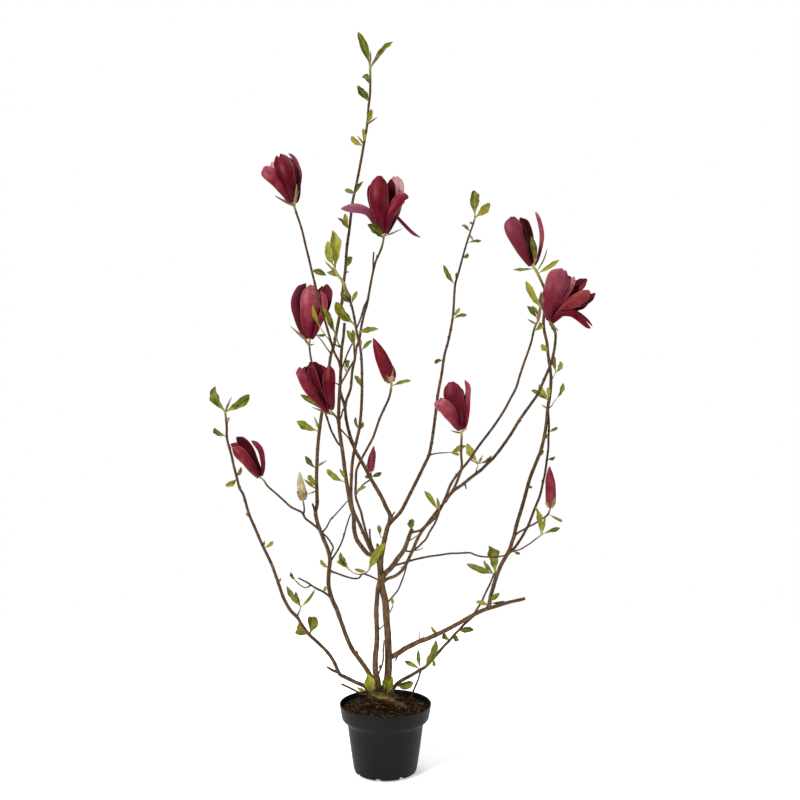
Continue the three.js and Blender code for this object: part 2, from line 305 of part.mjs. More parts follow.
// bloom: limb that carries it, then its tepals: points from the root to the tip with the depth in
// drawing units against the root, greatest width, and the way its outer face looks: 0 towards the
// viewer, 90 to the right of its own rise, 180 away from the viewer
const BLOOMS = {
  bloom_1: ['bloom1_stem', [
    [[[281, 188, -9], [272, 176, -12], [264.5, 166.5, -8]], 15, -20],
    [[[289, 185, -12], [285.5, 170, -13], [280, 153.5, -6]], 19, 5],
    [[[281, 182, 4], [275.5, 170, 6], [272.5, 161.5, 6]], 10, 180],
    [[[290, 180, 8], [288, 166, 9], [283, 157, 6]], 14, 170],
    [[[297.5, 189, 0], [299, 172, 0], [295, 160, 0], [288.5, 153, 0]], 11, 65],
    [[[278, 187, 10], [268, 175, 12], [263, 170, 10]], 14, -150],
    [[[294, 188, 9], [293, 172, 12], [288, 158, 9]], 15, 140]]],
  bloom_2: ['bloom2_stem', [
    [[[376, 221, -3], [369, 211.5, -6], [361, 207.5, -8], [351, 206.5, -10], [341, 209, -10]], 11, -28],
    [[[380.5, 212, -12], [378.5, 195, -14], [379.5, 175, -8]], 19, 0],
    [[[393, 210, 10], [396, 192, 12], [395.5, 175, 8]], 17, 180],
    [[[390, 208, 3], [391.5, 192, 4], [391, 179, 2]], 11, -170],
    [[[388, 216, -9], [394, 205, -11], [402.5, 196, -8], [409, 197.5, -4]], 12, 15],
    [[[390, 220, 4], [395.5, 215.5, 5], [403, 222, 6], [412, 231, 6], [420.5, 237.5, 5]], 6, 50],
    [[[378, 212, 10], [375, 194, 12], [376, 181, 8]], 15, -165]]],
  bloom_3: ['bloom3_stem', [
    [[[300, 319, 4], [298.5, 301, 5], [307.5, 283.5, 2]], 16, -70],
    [[[308, 320, -11], [310, 302, -13], [312.5, 284, -6]], 20, -5],
    [[[317, 321, -7], [322, 305, -6], [321, 291, -3]], 11, 30],
    [[[320, 318, 6], [327, 300, 7], [328.5, 284.5, 4]], 12, 165],
    [[[315, 314, 9], [319, 298, 11], [322.5, 286, 8]], 10, 180],
    [[[305, 316, 11], [306, 300, 13], [311, 287, 9]], 18, -170]]],
  bloom_4: ['bloom4_stem', [
    [[[317, 396, -8], [307, 382, -10], [302, 371, -8], [299.5, 366.5, -4]], 13, -40],
    [[[322, 392, 6], [315.5, 375, 8], [313, 361, 5]], 20, 180],
    [[[329.5, 395, -10], [328.5, 380, -11], [329.3, 365, -7]], 12, 8],
    [[[318, 389, 3], [311.5, 371, 2], [310, 361.5, 0]], 8, 160],
    [[[326, 390, 10], [322.5, 376, 12], [319, 364, 10]], 13, 170],
    [[[314, 392, 9], [306, 378, 10], [305, 366.5, 7]], 12, -150]]],
  bloom_6: ['bloom6_stem', [
    [[[249, 463.5, -9], [240, 453.5, -10], [232, 447.5, -6]], 11.5, -10],
    [[[248, 458, 0], [239.5, 447, 2], [230.5, 444, 2]], 10, -30],
    [[[253, 460, 3], [246.5, 447, 4], [236.5, 437, 2]], 11, 165],
    [[[262, 463, -2], [259.5, 450.5, -2], [251.5, 440.5, 0]], 7.5, 30],
    [[[250, 461, 9], [243, 450, 10], [236, 443, 6]], 11, 180],
    [[[248, 462, 9], [240, 452, 10], [234, 446, 6]], 11, -150]]],
  bloom_7: ['bloom7_stem', [
    [[[452, 415, -10], [444.5, 406, -11], [434, 403.5, -7]], 13.5, -10],
    [[[457, 410, -3], [453, 395, -4], [451, 381, 0]], 18, 5],
    [[[460, 410, 5], [459.5, 397, 6], [457.5, 386, 4]], 10, 170],
    [[[466, 413, 0], [466, 397, 0], [467, 388, 0], [464.8, 380, 0]], 10, 50],
    [[[456, 412, 9], [452, 398, 11], [450, 386, 8]], 16, 180],
    [[[452, 414, 6], [446, 404, 7], [440, 398, 5]], 10, -150]]],
  bloom_8: ['right_rise', [
    [[[523, 248.5, -10], [515, 232, -12], [512.5, 216, -7]], 17.5, -5],
    [[[528.5, 250, 3], [527, 235, 4], [520, 217.5, 2]], 13, 160],
    [[[539.5, 251, 0], [541, 237, 0], [539.5, 225, 0], [535, 212, 0]], 8, 50],
    [[[524, 247, 9], [518, 231, 11], [515, 219, 8]], 15, 180],
    [[[535.5, 256, -6], [534.5, 246, -7], [531.5, 237, -6]], 9, 5],
    [[[522, 249, 8], [521, 236, 10], [519, 223, 7]], 11, 165]]],
  bloom_9: ['bloom9_stem', [
    [[[550, 303, -11], [555.5, 287, -13], [565, 268, -6]], 22, 0],
    [[[562, 301, 4], [576, 287.5, 6], [587, 279, 3]], 11, 180],
    [[[560, 303, -3], [569, 289.5, -4], [575, 276.5, -1]], 9, 20],
    [[[563, 305.5, -6], [577, 297, -8], [590.5, 290, -6]], 13.5, 10],
    [[[570, 304, 2], [584, 301, 3], [595.5, 293, 2]], 8, 160],
    [[[561, 312.5, -6], [573, 312, -8], [584, 319, -8], [593, 328.5, -7]], 10.5, 30],
    [[[555, 304, 9], [562, 290, 11], [570, 276, 8]], 18, 180],
    [[[565, 308, 8], [578, 305, 9], [588, 304, 7]], 11, 170]]],
};

// closed bud: limb that carries it, points of its axis, radii along it in drawing units
const BUDS = {
  bloom_5: ['bloom5_stem', [[387, 371, 0], [382, 359, 0], [377, 347, 0], [373.4, 338.4, 0]],
    [3.2, 7.2, 6.8, 4.9, 0.8]],
  bud_10: ['bud10_stem', [[550.6, 499, 0], [550.4, 489, 0], [549.9, 477, 0], [549.5, 466.5, 0]],
    [3, 5.6, 5.6, 4.1, 0.7]],
  bud_11: ['bud11_stem', [[370.6, 466, 0], [371.2, 460, 0], [372.8, 452, 0], [373.9, 446, 0]],
    [2.4, 4.1, 3.9, 2.6, 0.5]],
  bud_12: ['bud12_stem', [[302, 492, 0], [300.4, 484, 0], [299.8, 477, 0], [299.4, 471.5, 0]],
    [3, 4.8, 4.4, 3.1, 0.5]],
};
const FURRY_BUDS = ['bud_12'];

// ---------------------------------------------------------------- from the drawing to space
const EYE_X = (DRAWING.eyeU - DRAWING.axisU) * DRAWING.unit;
const EYE_Z = (DRAWING.floorV - DRAWING.eyeV) * DRAWING.unit;

// the point of space that the viewer sees at a place of the drawing, at a depth behind its plane
function place(across, down, depth) {
  const spread = 1 + depth / DRAWING.distance;
  const x = (across - DRAWING.eyeU) * DRAWING.unit * spread + EYE_X;
  const z = EYE_Z - (down - DRAWING.eyeV) * DRAWING.unit * spread;
  return new THREE.Vector3(x, depth, z);
}

// the place and depth in the drawing of a point of space
function seen(point) {
  const spread = 1 + point.y / DRAWING.distance;
  const across = DRAWING.eyeU + (point.x - EYE_X) / (DRAWING.unit * spread);
  const down = DRAWING.eyeV - (point.z - EYE_Z) / (DRAWING.unit * spread);
  return [across, down, point.y];
}

// where a point of the drawing lies along a route: its depth there, by the nearest stretch
function depthOn(route, across, down) {
  let best = { distance: Infinity, point: route[0] };
  for (let i = 0; i + 1 < route.length; i += 1) {
    const [a, b] = [route[i], route[i + 1]];
    const run = [b[0] - a[0], b[1] - a[1]];
    const along = ((across - a[0]) * run[0] + (down - a[1]) * run[1]) / (run[0] ** 2 + run[1] ** 2);
    const t = Math.min(1, Math.max(0, along));
    const point = [a[0] + run[0] * t, a[1] + run[1] * t, a[2] + (b[2] - a[2]) * t];
    const distance = Math.hypot(across - point[0], down - point[1]);
    if (distance < best.distance) best = { distance, point };
  }
  return best.point;
}

// the crown opens out from front to back as it rises from the pot: how much a traced depth grows
const FAN = { from: 690, to: 430, most: 1.9 };
function fan(down) {
  const share = Math.min(1, Math.max(0, (FAN.from - down) / (FAN.from - FAN.to)));
  return 1 + (FAN.most - 1) * share;
}

// depths that a route leaves out are spread evenly along it between those that it gives; a route
// that gives none at its tip keeps drifting as a young shoot does, by a share of its length
const DRIFT = [0.25, -0.3, 0.15, -0.2, 0.3, -0.12];
function fillDepths(points, rootDepth, index) {
  const route = points.map(([u, v, depth]) => [u, v, depth === undefined ? depth : depth * fan(v)]);
  const travelled = [0];
  for (let i = 1; i < route.length; i += 1) {
    travelled.push(travelled[i - 1] + Math.hypot(route[i][0] - route[i - 1][0],
      route[i][1] - route[i - 1][1]));
  }
  const last = route.length - 1;
  if (route[0][2] === undefined) route[0][2] = rootDepth;
  if (route[last][2] === undefined) {
    route[last][2] = route[0][2] + travelled[last] * DRAWING.unit * DRIFT[index % DRIFT.length];
  }
  let from = 0;
  for (let i = 1; i <= last; i += 1) {
    if (route[i][2] === undefined) continue;
    for (let j = from + 1; j < i; j += 1) {
      const t = (travelled[j] - travelled[from]) / (travelled[i] - travelled[from]);
      route[j][2] = route[from][2] + (route[i][2] - route[from][2]) * t;
    }
    from = i;
  }
  return route;
}

// a smooth path with only the points that its bends need: a stretch is halved until the curve
// leaves its chord by less than the tolerance
const MOST_HALVINGS = 7;
function bendPoints(curve, tolerance) {
  const kept = [0];
  const halve = (a, b, depth) => {
    const chord = new THREE.Line3(curve.getPoint(a), curve.getPoint(b));
    const gap = [0.25, 0.5, 0.75].map((t) => {
      const p = curve.getPoint(a + (b - a) * t);
      return p.distanceTo(chord.closestPointToPoint(p, true, new THREE.Vector3()));
    });
    if (depth < MOST_HALVINGS && Math.max(...gap) > tolerance) {
      halve(a, (a + b) / 2, depth + 1);
      halve((a + b) / 2, b, depth + 1);
    } else {
      kept.push(b);
    }
  };
  halve(0, 1, 0);
  return kept;
}

// the centreline of every limb as far as its bends need it; limbs and leaves that grow from it
// start on this line, so they are always rooted in the wood
const LIMB_TOLERANCE = 3.1;
const routes = {};
for (const limbs of Object.values(LIMBS)) {
  limbs.forEach(([name, parent, thickRoot, thickTip, points], index) => {
    const start = [...points[0]];
    let rootDepth = start[2];
    if (parent) [start[0], start[1], rootDepth] = depthOn(routes[parent].seen, start[0], start[1]);
    const traced = fillDepths([start.slice(0, 2), ...points.slice(1)], rootDepth, index);
    const curve = new THREE.CatmullRomCurve3(traced.map((p) => place(...p)), false, 'centripetal');
    const stops = bendPoints(curve, LIMB_TOLERANCE);
    const line = stops.map((t) => curve.getPoint(t));
    const radii = stops.map((t) => (thickRoot + (thickTip - thickRoot) * t) / 2);
    routes[name] = { line, radii, seen: line.map(seen) };
  });
}

// ---------------------------------------------------------------- closed solids
const wasm = await Module();
wasm.setup();

function toSolid(geometry) {
  const bare = new THREE.BufferGeometry();
  bare.setAttribute('position', geometry.getAttribute('position'));
  if (geometry.index) bare.setIndex(geometry.index);
  const merged = mergeVertices(bare, 1e-4);
  return new wasm.Manifold(new wasm.Mesh({
    numProp: 3,
    vertProperties: Float32Array.from(merged.getAttribute('position').array),
    triVerts: Uint32Array.from(merged.index.array),
  }));
}

function toGeometry(solid) {
  const mesh = solid.getMesh();
  const geometry = new THREE.BufferGeometry();
  geometry.setAttribute('position', new THREE.BufferAttribute(mesh.vertProperties, 3));
  geometry.setIndex(new THREE.BufferAttribute(mesh.triVerts, 1));
  return geometry;
}

const join = (solids) => solids.reduce((whole, solid) => whole.add(solid));

// the solid without the pockets shut in between its parts, and without the crumbs that a cut leaves
const LEAST_VOLUME = 1;
const sound = (solid) => join(solid.decompose().filter((shell) => shell.volume() > LEAST_VOLUME));

// a closed skin through rings of the same number of points, with a flat cap at each end
function skin(rings) {
  const around = rings[0].length;
  const position = rings.flat().flatMap((p) => [p.x, p.y, p.z]);
  const index = [];
  for (let i = 0; i + 1 < rings.length; i += 1) {
    for (let j = 0; j < around; j += 1) {
      const a = i * around + j;
      const b = i * around + ((j + 1) % around);
      index.push(a, b, b + around, a, b + around, a + around);
    }
  }
  const end = (rings.length - 1) * around;
  for (let j = 1; j + 1 < around; j += 1) {
    index.push(0, j + 1, j);
    index.push(end, end + j, end + j + 1);
  }
  const geometry = new THREE.BufferGeometry();
  geometry.setAttribute('position', new THREE.Float32BufferAttribute(position, 3));
  geometry.setIndex(index);
  return geometry;
}

// thick limbs have more sides than twigs
const THICK_LIMB = 6;
const THIN_LIMB = 3.2;

// a round tapering limb along its route, thicker by extra all over where a hole is cut for it
function limbSolid(name, extra = 0) {
  const { line, radii } = routes[name];
  const thick = 2 * radii[0];
  const sides = thick > THICK_LIMB ? 5 : (thick > THIN_LIMB ? 4 : 3);
  const last = line.length - 1;
  let across = new THREE.Vector3(0, 1, 0);
  const rings = line.map((point, i) => {
    const ahead = line[Math.min(last, i + 1)].clone().sub(line[Math.max(0, i - 1)]).normalize();
    const centre = point.clone();
    if (i === 0) centre.addScaledVector(ahead, -extra);
    if (i === last) centre.addScaledVector(ahead, extra);
    across = across.clone().addScaledVector(ahead, -across.dot(ahead)).normalize();
    const up = new THREE.Vector3().crossVectors(ahead, across);
    return Array.from({ length: sides }, (_, j) => {
      const angle = (2 * Math.PI * j) / sides;
      return centre.clone().addScaledVector(across, (radii[i] + extra) * Math.cos(angle))
        .addScaledVector(up, (radii[i] + extra) * Math.sin(angle));
    });
  });
  return toSolid(skin(rings));
}

// a thin blade: rows of points across its face, given half its thickness to each side
function bladeSolid(rows, normals, thickness) {
  const rings = rows.map((row, i) => {
    const lift = normals[i].clone().multiplyScalar(thickness / 2);
    return [...row.map((p) => p.clone().add(lift)), ...row.map((p) => p.clone().sub(lift)).reverse()];
  });
  return toSolid(skin(rings));
}

// the blade's own directions at a point of its path: its rise, its outer face and its breadth
function bladeFrame(rise, faceAngle) {
  const towardsViewer = new THREE.Vector3(0, -1, 0);
  const front = towardsViewer.addScaledVector(rise, -towardsViewer.dot(rise)).normalize();
  const right = new THREE.Vector3().crossVectors(rise, front).negate();
  const angle = THREE.MathUtils.degToRad(faceAngle);
  const face = front.clone().multiplyScalar(Math.cos(angle)).addScaledVector(right, Math.sin(angle));
  return { face, breadth: new THREE.Vector3().crossVectors(rise, face) };
}

// a leaf: a narrow stalk out of the limb, a lance-shaped blade folded a little along its rib, and
// a tip that bends back; leaves turn about their own rib and reach forwards or back by turns
const LEAF_ROWS = [[0, 0], [0.22, 0.2], [0.6, 1], [1, 0.1]];
const SMALL_LEAF_ROWS = [[0, 0], [0.52, 1], [1, 0.12]];
const STALK_WIDTH = 1.5;
const GOLDEN_ANGLE = 137.5;
const LARGE_LEAF = 7;
const LEAF_REACH = 0.45;
const LEAF_ROLL = 28;
const LEAF_BOW = 0.07;
const LEAF_FOLD = 0.18;
function leafSolid([limb, rootU, rootV, tipU, tipV, width, reach], index) {
  const root = depthOn(routes[limb].seen, rootU, rootV);
  const length = Math.hypot(tipU - root[0], tipV - root[1]) * DRAWING.unit;
  const turn = THREE.MathUtils.degToRad(index * GOLDEN_ANGLE);
  const tipDepth = root[2] + (reach === undefined ? LEAF_REACH * length * Math.sin(turn) : reach);
  const start = place(...root);
  const end = place(tipU, tipV, tipDepth);
  const rise = end.clone().sub(start).normalize();
  const roll = LEAF_ROLL * Math.cos(turn);
  const { face, breadth } = bladeFrame(rise, roll);
  const large = width >= LARGE_LEAF;
  const full = (width * DRAWING.unit) / Math.cos(THREE.MathUtils.degToRad(roll));
  const bow = LEAF_BOW * length;
  const rows = (large ? LEAF_ROWS : SMALL_LEAF_ROWS).map(([t, share]) => {
    const half = Math.max(STALK_WIDTH, full * share) / 2;
    const rib = start.clone().lerp(end, t).addScaledVector(face, bow * Math.sin(Math.PI * t));
    const left = rib.clone().addScaledVector(breadth, -half).addScaledVector(face, LEAF_FOLD * half);
    const right = rib.clone().addScaledVector(breadth, half).addScaledVector(face, LEAF_FOLD * half);
    return large ? [left, rib, right] : [left, right];
  });
  return bladeSolid(rows, rows.map(() => face), LEAF_THICKNESS);
}

const RECEPTACLE_RADIUS = 5;

// a tepal: a claw at the root, broadest above the middle, a round tip, cupped about the bloom; its
// rib starts beside the bloom's axis and swells away from it, so the bloom's foot is round
const TEPAL_ROWS = [[0, 0.14], [0.32, 0.74], [0.74, 1], [1, 0.36]];
const CUP = 0.4;
const FOOT = { spread: 0.65, belly: 0.8, bellyAt: 0.35 };
function tepalSolid(bloomRoot, axis, [points, width, faceAngle]) {
  const foot = place(...bloomRoot);
  const ends = points.map(([u, v, d]) => place(u, v, bloomRoot[2] + d * DRAWING.unit));
  const aside = ends[0].clone().sub(foot);
  aside.addScaledVector(axis, -aside.dot(axis)).setLength(RECEPTACLE_RADIUS);
  const start = foot.clone().addScaledVector(aside, FOOT.spread);
  const swell = foot.clone().lerp(ends[0], FOOT.bellyAt).addScaledVector(aside, FOOT.belly);
  const route = [start, swell, ...ends];
  const curve = new THREE.CatmullRomCurve3(route, false, 'centripetal');
  const normals = [];
  const rows = TEPAL_ROWS.map(([t, share]) => {
    const rib = curve.getPointAt(t);
    const { face, breadth } = bladeFrame(curve.getTangentAt(t).normalize(), faceAngle);
    normals.push(face);
    const half = (width * share * DRAWING.unit) / 2;
    return [-1, 0, 1].map((q) => rib.clone().addScaledVector(breadth, q * half)
      .addScaledVector(face, -CUP * half * q * q));
  });
  return bladeSolid(rows, normals, TEPAL_THICKNESS);
}

// a bloom: the swelling at the end of its stalk, and the tepals that grow from it
function bloomSolid([limb, tepals]) {
  const root = routes[limb].seen.at(-1);
  const receptacle = new THREE.SphereGeometry(RECEPTACLE_RADIUS, 6, 4);
  const foot = place(...root);
  receptacle.translate(foot.x, foot.y, foot.z);
  const axis = new THREE.Vector3();
  tepals.forEach(([points]) => axis.add(place(points.at(-1)[0], points.at(-1)[1], root[2]).sub(foot)));
  axis.normalize();
  return join([toSolid(receptacle), ...tepals.map((t) => tepalSolid(root, axis, t))]);
}

// a closed bud: its tepals wrap round it, so its skin steps in at the edge of each one and the
// steps wind upwards
const BUD_SIDES = 12;
const BUD_STEPS = 6;
const WRAPS = 3;
const WRAP_STEP = 0.13;
const WRAP_TWIST = 0.9;
function budSolid([limb, points, radii]) {
  const root = routes[limb].seen.at(-1);
  const path = [place(...root), ...points.map(([u, v, d]) => place(u, v, root[2] + d))];
  const curve = new THREE.CatmullRomCurve3(path, false, 'centripetal');
  const profile = new THREE.SplineCurve(radii.map((r, i) => new THREE.Vector2(i, r)));
  const rings = Array.from({ length: BUD_STEPS + 1 }, (_, i) => {
    const t = i / BUD_STEPS;
    const centre = curve.getPointAt(t);
    const { face, breadth } = bladeFrame(curve.getTangentAt(t).normalize(), 0);
    return Array.from({ length: BUD_SIDES }, (__, j) => {
      const angle = (2 * Math.PI * j) / BUD_SIDES;
      const wrap = ((WRAPS * (angle + WRAP_TWIST * t)) / (2 * Math.PI)) % 1;
      const radius = profile.getPoint(t).y * DRAWING.unit * (1 - WRAP_STEP * wrap);
      return centre.clone().addScaledVector(breadth, radius * Math.cos(angle))
        .addScaledVector(face, radius * Math.sin(angle));
    });
  });
  return toSolid(skin(rings.reverse()));
}

// the knobbly crown where the roots meet, low over the soil
const CROWN = { u: 387, v: 701, depth: -6, radii: [26, 17, 13], knobs: 0.12 };
function crownSolid(extra = 0) {
  const crown = new THREE.IcosahedronGeometry(1, 1);
  const position = crown.getAttribute('position');
  for (let i = 0; i < position.count; i += 1) {
    const p = new THREE.Vector3().fromBufferAttribute(position, i);
    const knob = 1 + CROWN.knobs * Math.sin(7 * p.x + 2 * p.z) * Math.cos(5 * p.y - 3 * p.z);
    const [a, b, c] = CROWN.radii.map((radius) => radius * knob + extra);
    position.setXYZ(i, p.x * a, p.y * b, p.z * c);
  }
  const centre = place(CROWN.u, CROWN.v, CROWN.depth);
  crown.translate(centre.x, centre.y, centre.z);
  return toSolid(crown);
}

// ---------------------------------------------------------------- pot and soil
const lathe = (profile) => {
  const geometry = new THREE.LatheGeometry(profile.map(([r, z]) => new THREE.Vector2(r, z)), POT_SIDES);
  geometry.rotateX(Math.PI / 2);
  return toSolid(geometry);
};

// the wall's outer radius at each height: the body tapers, and the collar stands out from it
const COLLAR = { low: 104, bulge: 113, under: 79.5, foot: 90.8 };
const BODY_CURVE = 0.85;
function wallRadius(height) {
  if (height <= COLLAR.low) {
    return POT_BASE_RADIUS + (COLLAR.under - POT_BASE_RADIUS) * (height / COLLAR.low) ** BODY_CURVE;
  }
  const share = (height - COLLAR.bulge) / (POT_HEIGHT - COLLAR.bulge);
  return COLLAR.foot + (POT_RIM_RADIUS - COLLAR.foot) * share;
}
const WALL_HEIGHTS = [POT_FLOOR + 2, 50, COLLAR.low, COLLAR.bulge, POT_HEIGHT - 4];

function potSolid() {
  const outside = WALL_HEIGHTS.map((z) => [wallRadius(z), z]);
  const inside = WALL_HEIGHTS.map((z) => [wallRadius(z) - POT_WALL, z]).reverse();
  let pot = lathe([
    [0, 0], [POT_FOOT_RADIUS - 1, 0], [POT_FOOT_RADIUS, POT_SKIRT_HEIGHT],
    [POT_BASE_RADIUS - 1, POT_SKIRT_HEIGHT],
    ...outside, [POT_RIM_RADIUS, POT_HEIGHT - 1], [POT_RIM_RADIUS - 1, POT_HEIGHT],
    [POT_RIM_RADIUS - POT_WALL, POT_HEIGHT], ...inside, [POT_BASE_RADIUS - POT_WALL - 1, POT_FLOOR],
    [0, POT_FLOOR],
  ]);
  for (let i = 0; i < DRAIN.count; i += 1) {
    const angle = THREE.MathUtils.degToRad(DRAIN.firstAngle + (360 / DRAIN.count) * i);
    const notch = new THREE.BoxGeometry(DRAIN.length, DRAIN.width, DRAIN.height);
    notch.translate(DRAIN.reach, 0, DRAIN.height / 2);
    notch.rotateZ(angle);
    pot = pot.subtract(toSolid(notch));
  }
  return pot;
}

// the compost: it fills the pot and rises in a low mound round the stems
const MOUND_RADII = [84, 50, 0];
const MOUND_SPAN = 190;
function soilSolid(holes) {
  const clear = POT_WALL + GAP;
  const rise = SOIL_MOUND_HEIGHT - SOIL_EDGE_HEIGHT;
  const mound = MOUND_RADII.map((r) => {
    const share = Math.cos((Math.PI * r) / MOUND_SPAN) ** 2;
    return [r, SOIL_EDGE_HEIGHT + rise * share];
  });
  const sides = WALL_HEIGHTS.slice(0, -1).map((z) => [wallRadius(z) - clear, z]);
  const floor = POT_FLOOR + GAP;
  const profile = [[0, floor], [POT_BASE_RADIUS - clear - 1, floor], ...sides,
    [wallRadius(SOIL_EDGE_HEIGHT) - clear - 1, SOIL_EDGE_HEIGHT], ...mound];
  return holes.reduce((soil, hole) => soil.subtract(hole), lathe(profile));
}

// ---------------------------------------------------------------- the whole plant
const group = new THREE.Group();
function addPiece(name, solid, finish) {
  const mesh = new THREE.Mesh(toGeometry(solid), new THREE.MeshStandardMaterial(finish));
  mesh.name = name;
  group.add(mesh);
}

const stems = {};
for (const [node, limbs] of Object.entries(LIMBS)) {
  const wood = limbs.map(([name]) => limbSolid(name));
  const leaves = LEAVES[node].map((leaf, index) => leafSolid(leaf, index));
  stems[node] = join([...wood, ...leaves]);
}
const roots = ['left', 'inner', 'trunk', 'twin', 'right_low', 'right_prop'].map((n) => limbSolid(n, GAP));
const crown = ['left', 'inner', 'right_low'].reduce((solid, n) => solid.subtract(limbSolid(n, GAP)),
  crownSolid());
stems.trunk = stems.trunk.add(crown);
stems.stem_right = ['trunk', 'twin'].reduce((solid, n) => solid.subtract(limbSolid(n, GAP)),
  stems.stem_right);

addPiece('pot', potSolid(), POT_PLASTIC);
addPiece('soil', soilSolid([...roots, crownSolid(GAP)]), COMPOST);
for (const [node, solid] of Object.entries(stems)) addPiece(node, solid, LEAF_AND_BARK);
for (const [name, bloom] of Object.entries(BLOOMS)) {
  addPiece(name, sound(bloomSolid(bloom).subtract(limbSolid(bloom[0], GAP))), TEPAL);
}
for (const [name, bud] of Object.entries(BUDS)) {
  const solid = budSolid(bud).subtract(limbSolid(bud[0], GAP));
  addPiece(name, solid, FURRY_BUDS.includes(name) ? FURRY_BUD : TEPAL);
}

export default group;
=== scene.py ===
# %% [markdown]
# # A potted magnolia in bloom
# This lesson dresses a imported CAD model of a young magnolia: a black nursery pot of compost, long
# bare stems with small new leaves, and wine-red blooms and buds. The CAD solids are plain and
# faceted. Each one is replaced here by a finer piece that keeps its place and its form.

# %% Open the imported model
import math

import bpy
import numpy as np
from mathutils import Matrix, Vector, kdtree, noise


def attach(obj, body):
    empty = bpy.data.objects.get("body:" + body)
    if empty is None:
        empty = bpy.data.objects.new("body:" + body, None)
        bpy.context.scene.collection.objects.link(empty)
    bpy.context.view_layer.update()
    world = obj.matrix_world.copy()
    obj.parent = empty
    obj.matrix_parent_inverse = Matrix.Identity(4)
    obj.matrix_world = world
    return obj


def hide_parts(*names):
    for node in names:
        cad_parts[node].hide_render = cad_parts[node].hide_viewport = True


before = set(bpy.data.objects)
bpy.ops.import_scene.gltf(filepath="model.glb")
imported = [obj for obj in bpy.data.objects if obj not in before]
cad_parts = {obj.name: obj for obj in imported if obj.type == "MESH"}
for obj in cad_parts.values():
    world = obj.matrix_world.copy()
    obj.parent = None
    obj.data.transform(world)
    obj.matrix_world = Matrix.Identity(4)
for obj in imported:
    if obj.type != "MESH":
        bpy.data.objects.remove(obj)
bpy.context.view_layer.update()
RANDOM = np.random.default_rng(17)
print("nodes:", sorted(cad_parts))

# %% [markdown]
# ## The drawing
# The plant was traced as a drawing: stems, leaves and tepals are routes of points, across and
# down in drawing units, with a depth in millimetres behind the plane through the pot's axis. The
# same rule as in the CAD turns a point of the drawing into a place in the room: one unit is a
# fixed length in that plane, and what lies behind it is spread out from the viewer's eye, so the
# view from the eye stays true whatever the depth.

# %% From the drawing to the room
MM = 0.001
UNIT = 2.088 * MM
AXIS_U, FLOOR_V = 385.5, 770.5
EYE_U, EYE_V = 400.0, 400.0
EYE_DISTANCE = 2.015
EYE = Vector(((EYE_U - AXIS_U) * UNIT, -EYE_DISTANCE, (FLOOR_V - EYE_V) * UNIT))


def place(across, down, depth_mm):
    spread = 1 + depth_mm * MM / EYE_DISTANCE
    x = EYE.x + (across - EYE_U) * UNIT * spread
    z = EYE.z - (down - EYE_V) * UNIT * spread
    return Vector((x, depth_mm * MM, z))


def seen(point):
    spread = 1 + point.y / EYE_DISTANCE
    across = EYE_U + (point.x - EYE.x) / (UNIT * spread)
    down = EYE_V - (point.z - EYE.z) / (UNIT * spread)
    return across, down, point.y / MM


print("the pot's axis at the floor:", tuple(round(c, 4) for c in place(AXIS_U, FLOOR_V, 0)))

# %% [markdown]
# ## Camera
# The camera is made first. It stands at the height of the picture's middle, level, and its lens is
# set so that one picture unit at the pot's axis is the length that the drawing says.

# %% Camera
FRAME_UNITS = 800
SENSOR = 36.0


def clear_selection():
    if bpy.context.object and bpy.context.object.mode != "OBJECT":
        bpy.ops.object.mode_set(mode="OBJECT")
    bpy.ops.object.select_all(action="DESELECT")


def added(name, add, **settings):
    """Adds an object with nothing else selected, and names it."""
    clear_selection()
    add(**settings)
    bpy.context.object.name = name
    return bpy.context.object


camera = added("camera", bpy.ops.object.camera_add, location=EYE, rotation=(math.radians(90), 0, 0))
camera.data.sensor_width = SENSOR
camera.data.lens = SENSOR * EYE_DISTANCE / (FRAME_UNITS * UNIT)
bpy.context.scene.camera = camera
print("lens in mm:", round(camera.data.lens, 2))

# %% [markdown]
# ## Floor and light
# The plant was lit in a white studio: a pale floor that runs into a bright wall far behind it, and
# wide soft lights from the upper left, the right and above. The sky stands in for the wall. It is
# white as a backdrop and dimmer as a light, so that the petals and the pot keep their modelling.
# The floor is a sheet of white paper, no larger than it has to be, so that little light comes from
# below. It glows towards its edges, where it has to melt into the wall.

# %% Floor
FLOOR_SIZE = 2.8
FLOOR_WHITE = (0.93, 0.93, 0.93, 1)
NEAR, FAR = 0.3, 1.1               # where the glow of the floor starts to rise and where it is full
GLOW_NEAR, GLOW_FAR = 0.45, 1.0


def shader(name):
    made = bpy.data.materials.new(name)
    made.use_nodes = True
    made.node_tree.nodes.clear()
    output = made.node_tree.nodes.new("ShaderNodeOutputMaterial")
    surface = made.node_tree.nodes.new("ShaderNodeBsdfPrincipled")
    made.node_tree.links.new(surface.outputs["BSDF"], output.inputs["Surface"])
    return made, made.node_tree, surface


def feed(tree, owner, inputs):
    """Gives each named input of a node a value, or the output of another node."""
    for key, value in inputs.items():
        if isinstance(value, bpy.types.NodeSocket):
            tree.links.new(value, owner.inputs[key])
        else:
            owner.inputs[key].default_value = value


def node(tree, kind, inputs, output=0, **settings):
    made = tree.nodes.new("ShaderNode" + kind)
    for key, value in settings.items():
        setattr(made, key, value)
    feed(tree, made, inputs)
    return made.outputs[output]


def room(tree):
    """A point's place in the room; a finished piece's own coordinates are the room's."""
    return node(tree, "TexCoord", {}, output="Object")


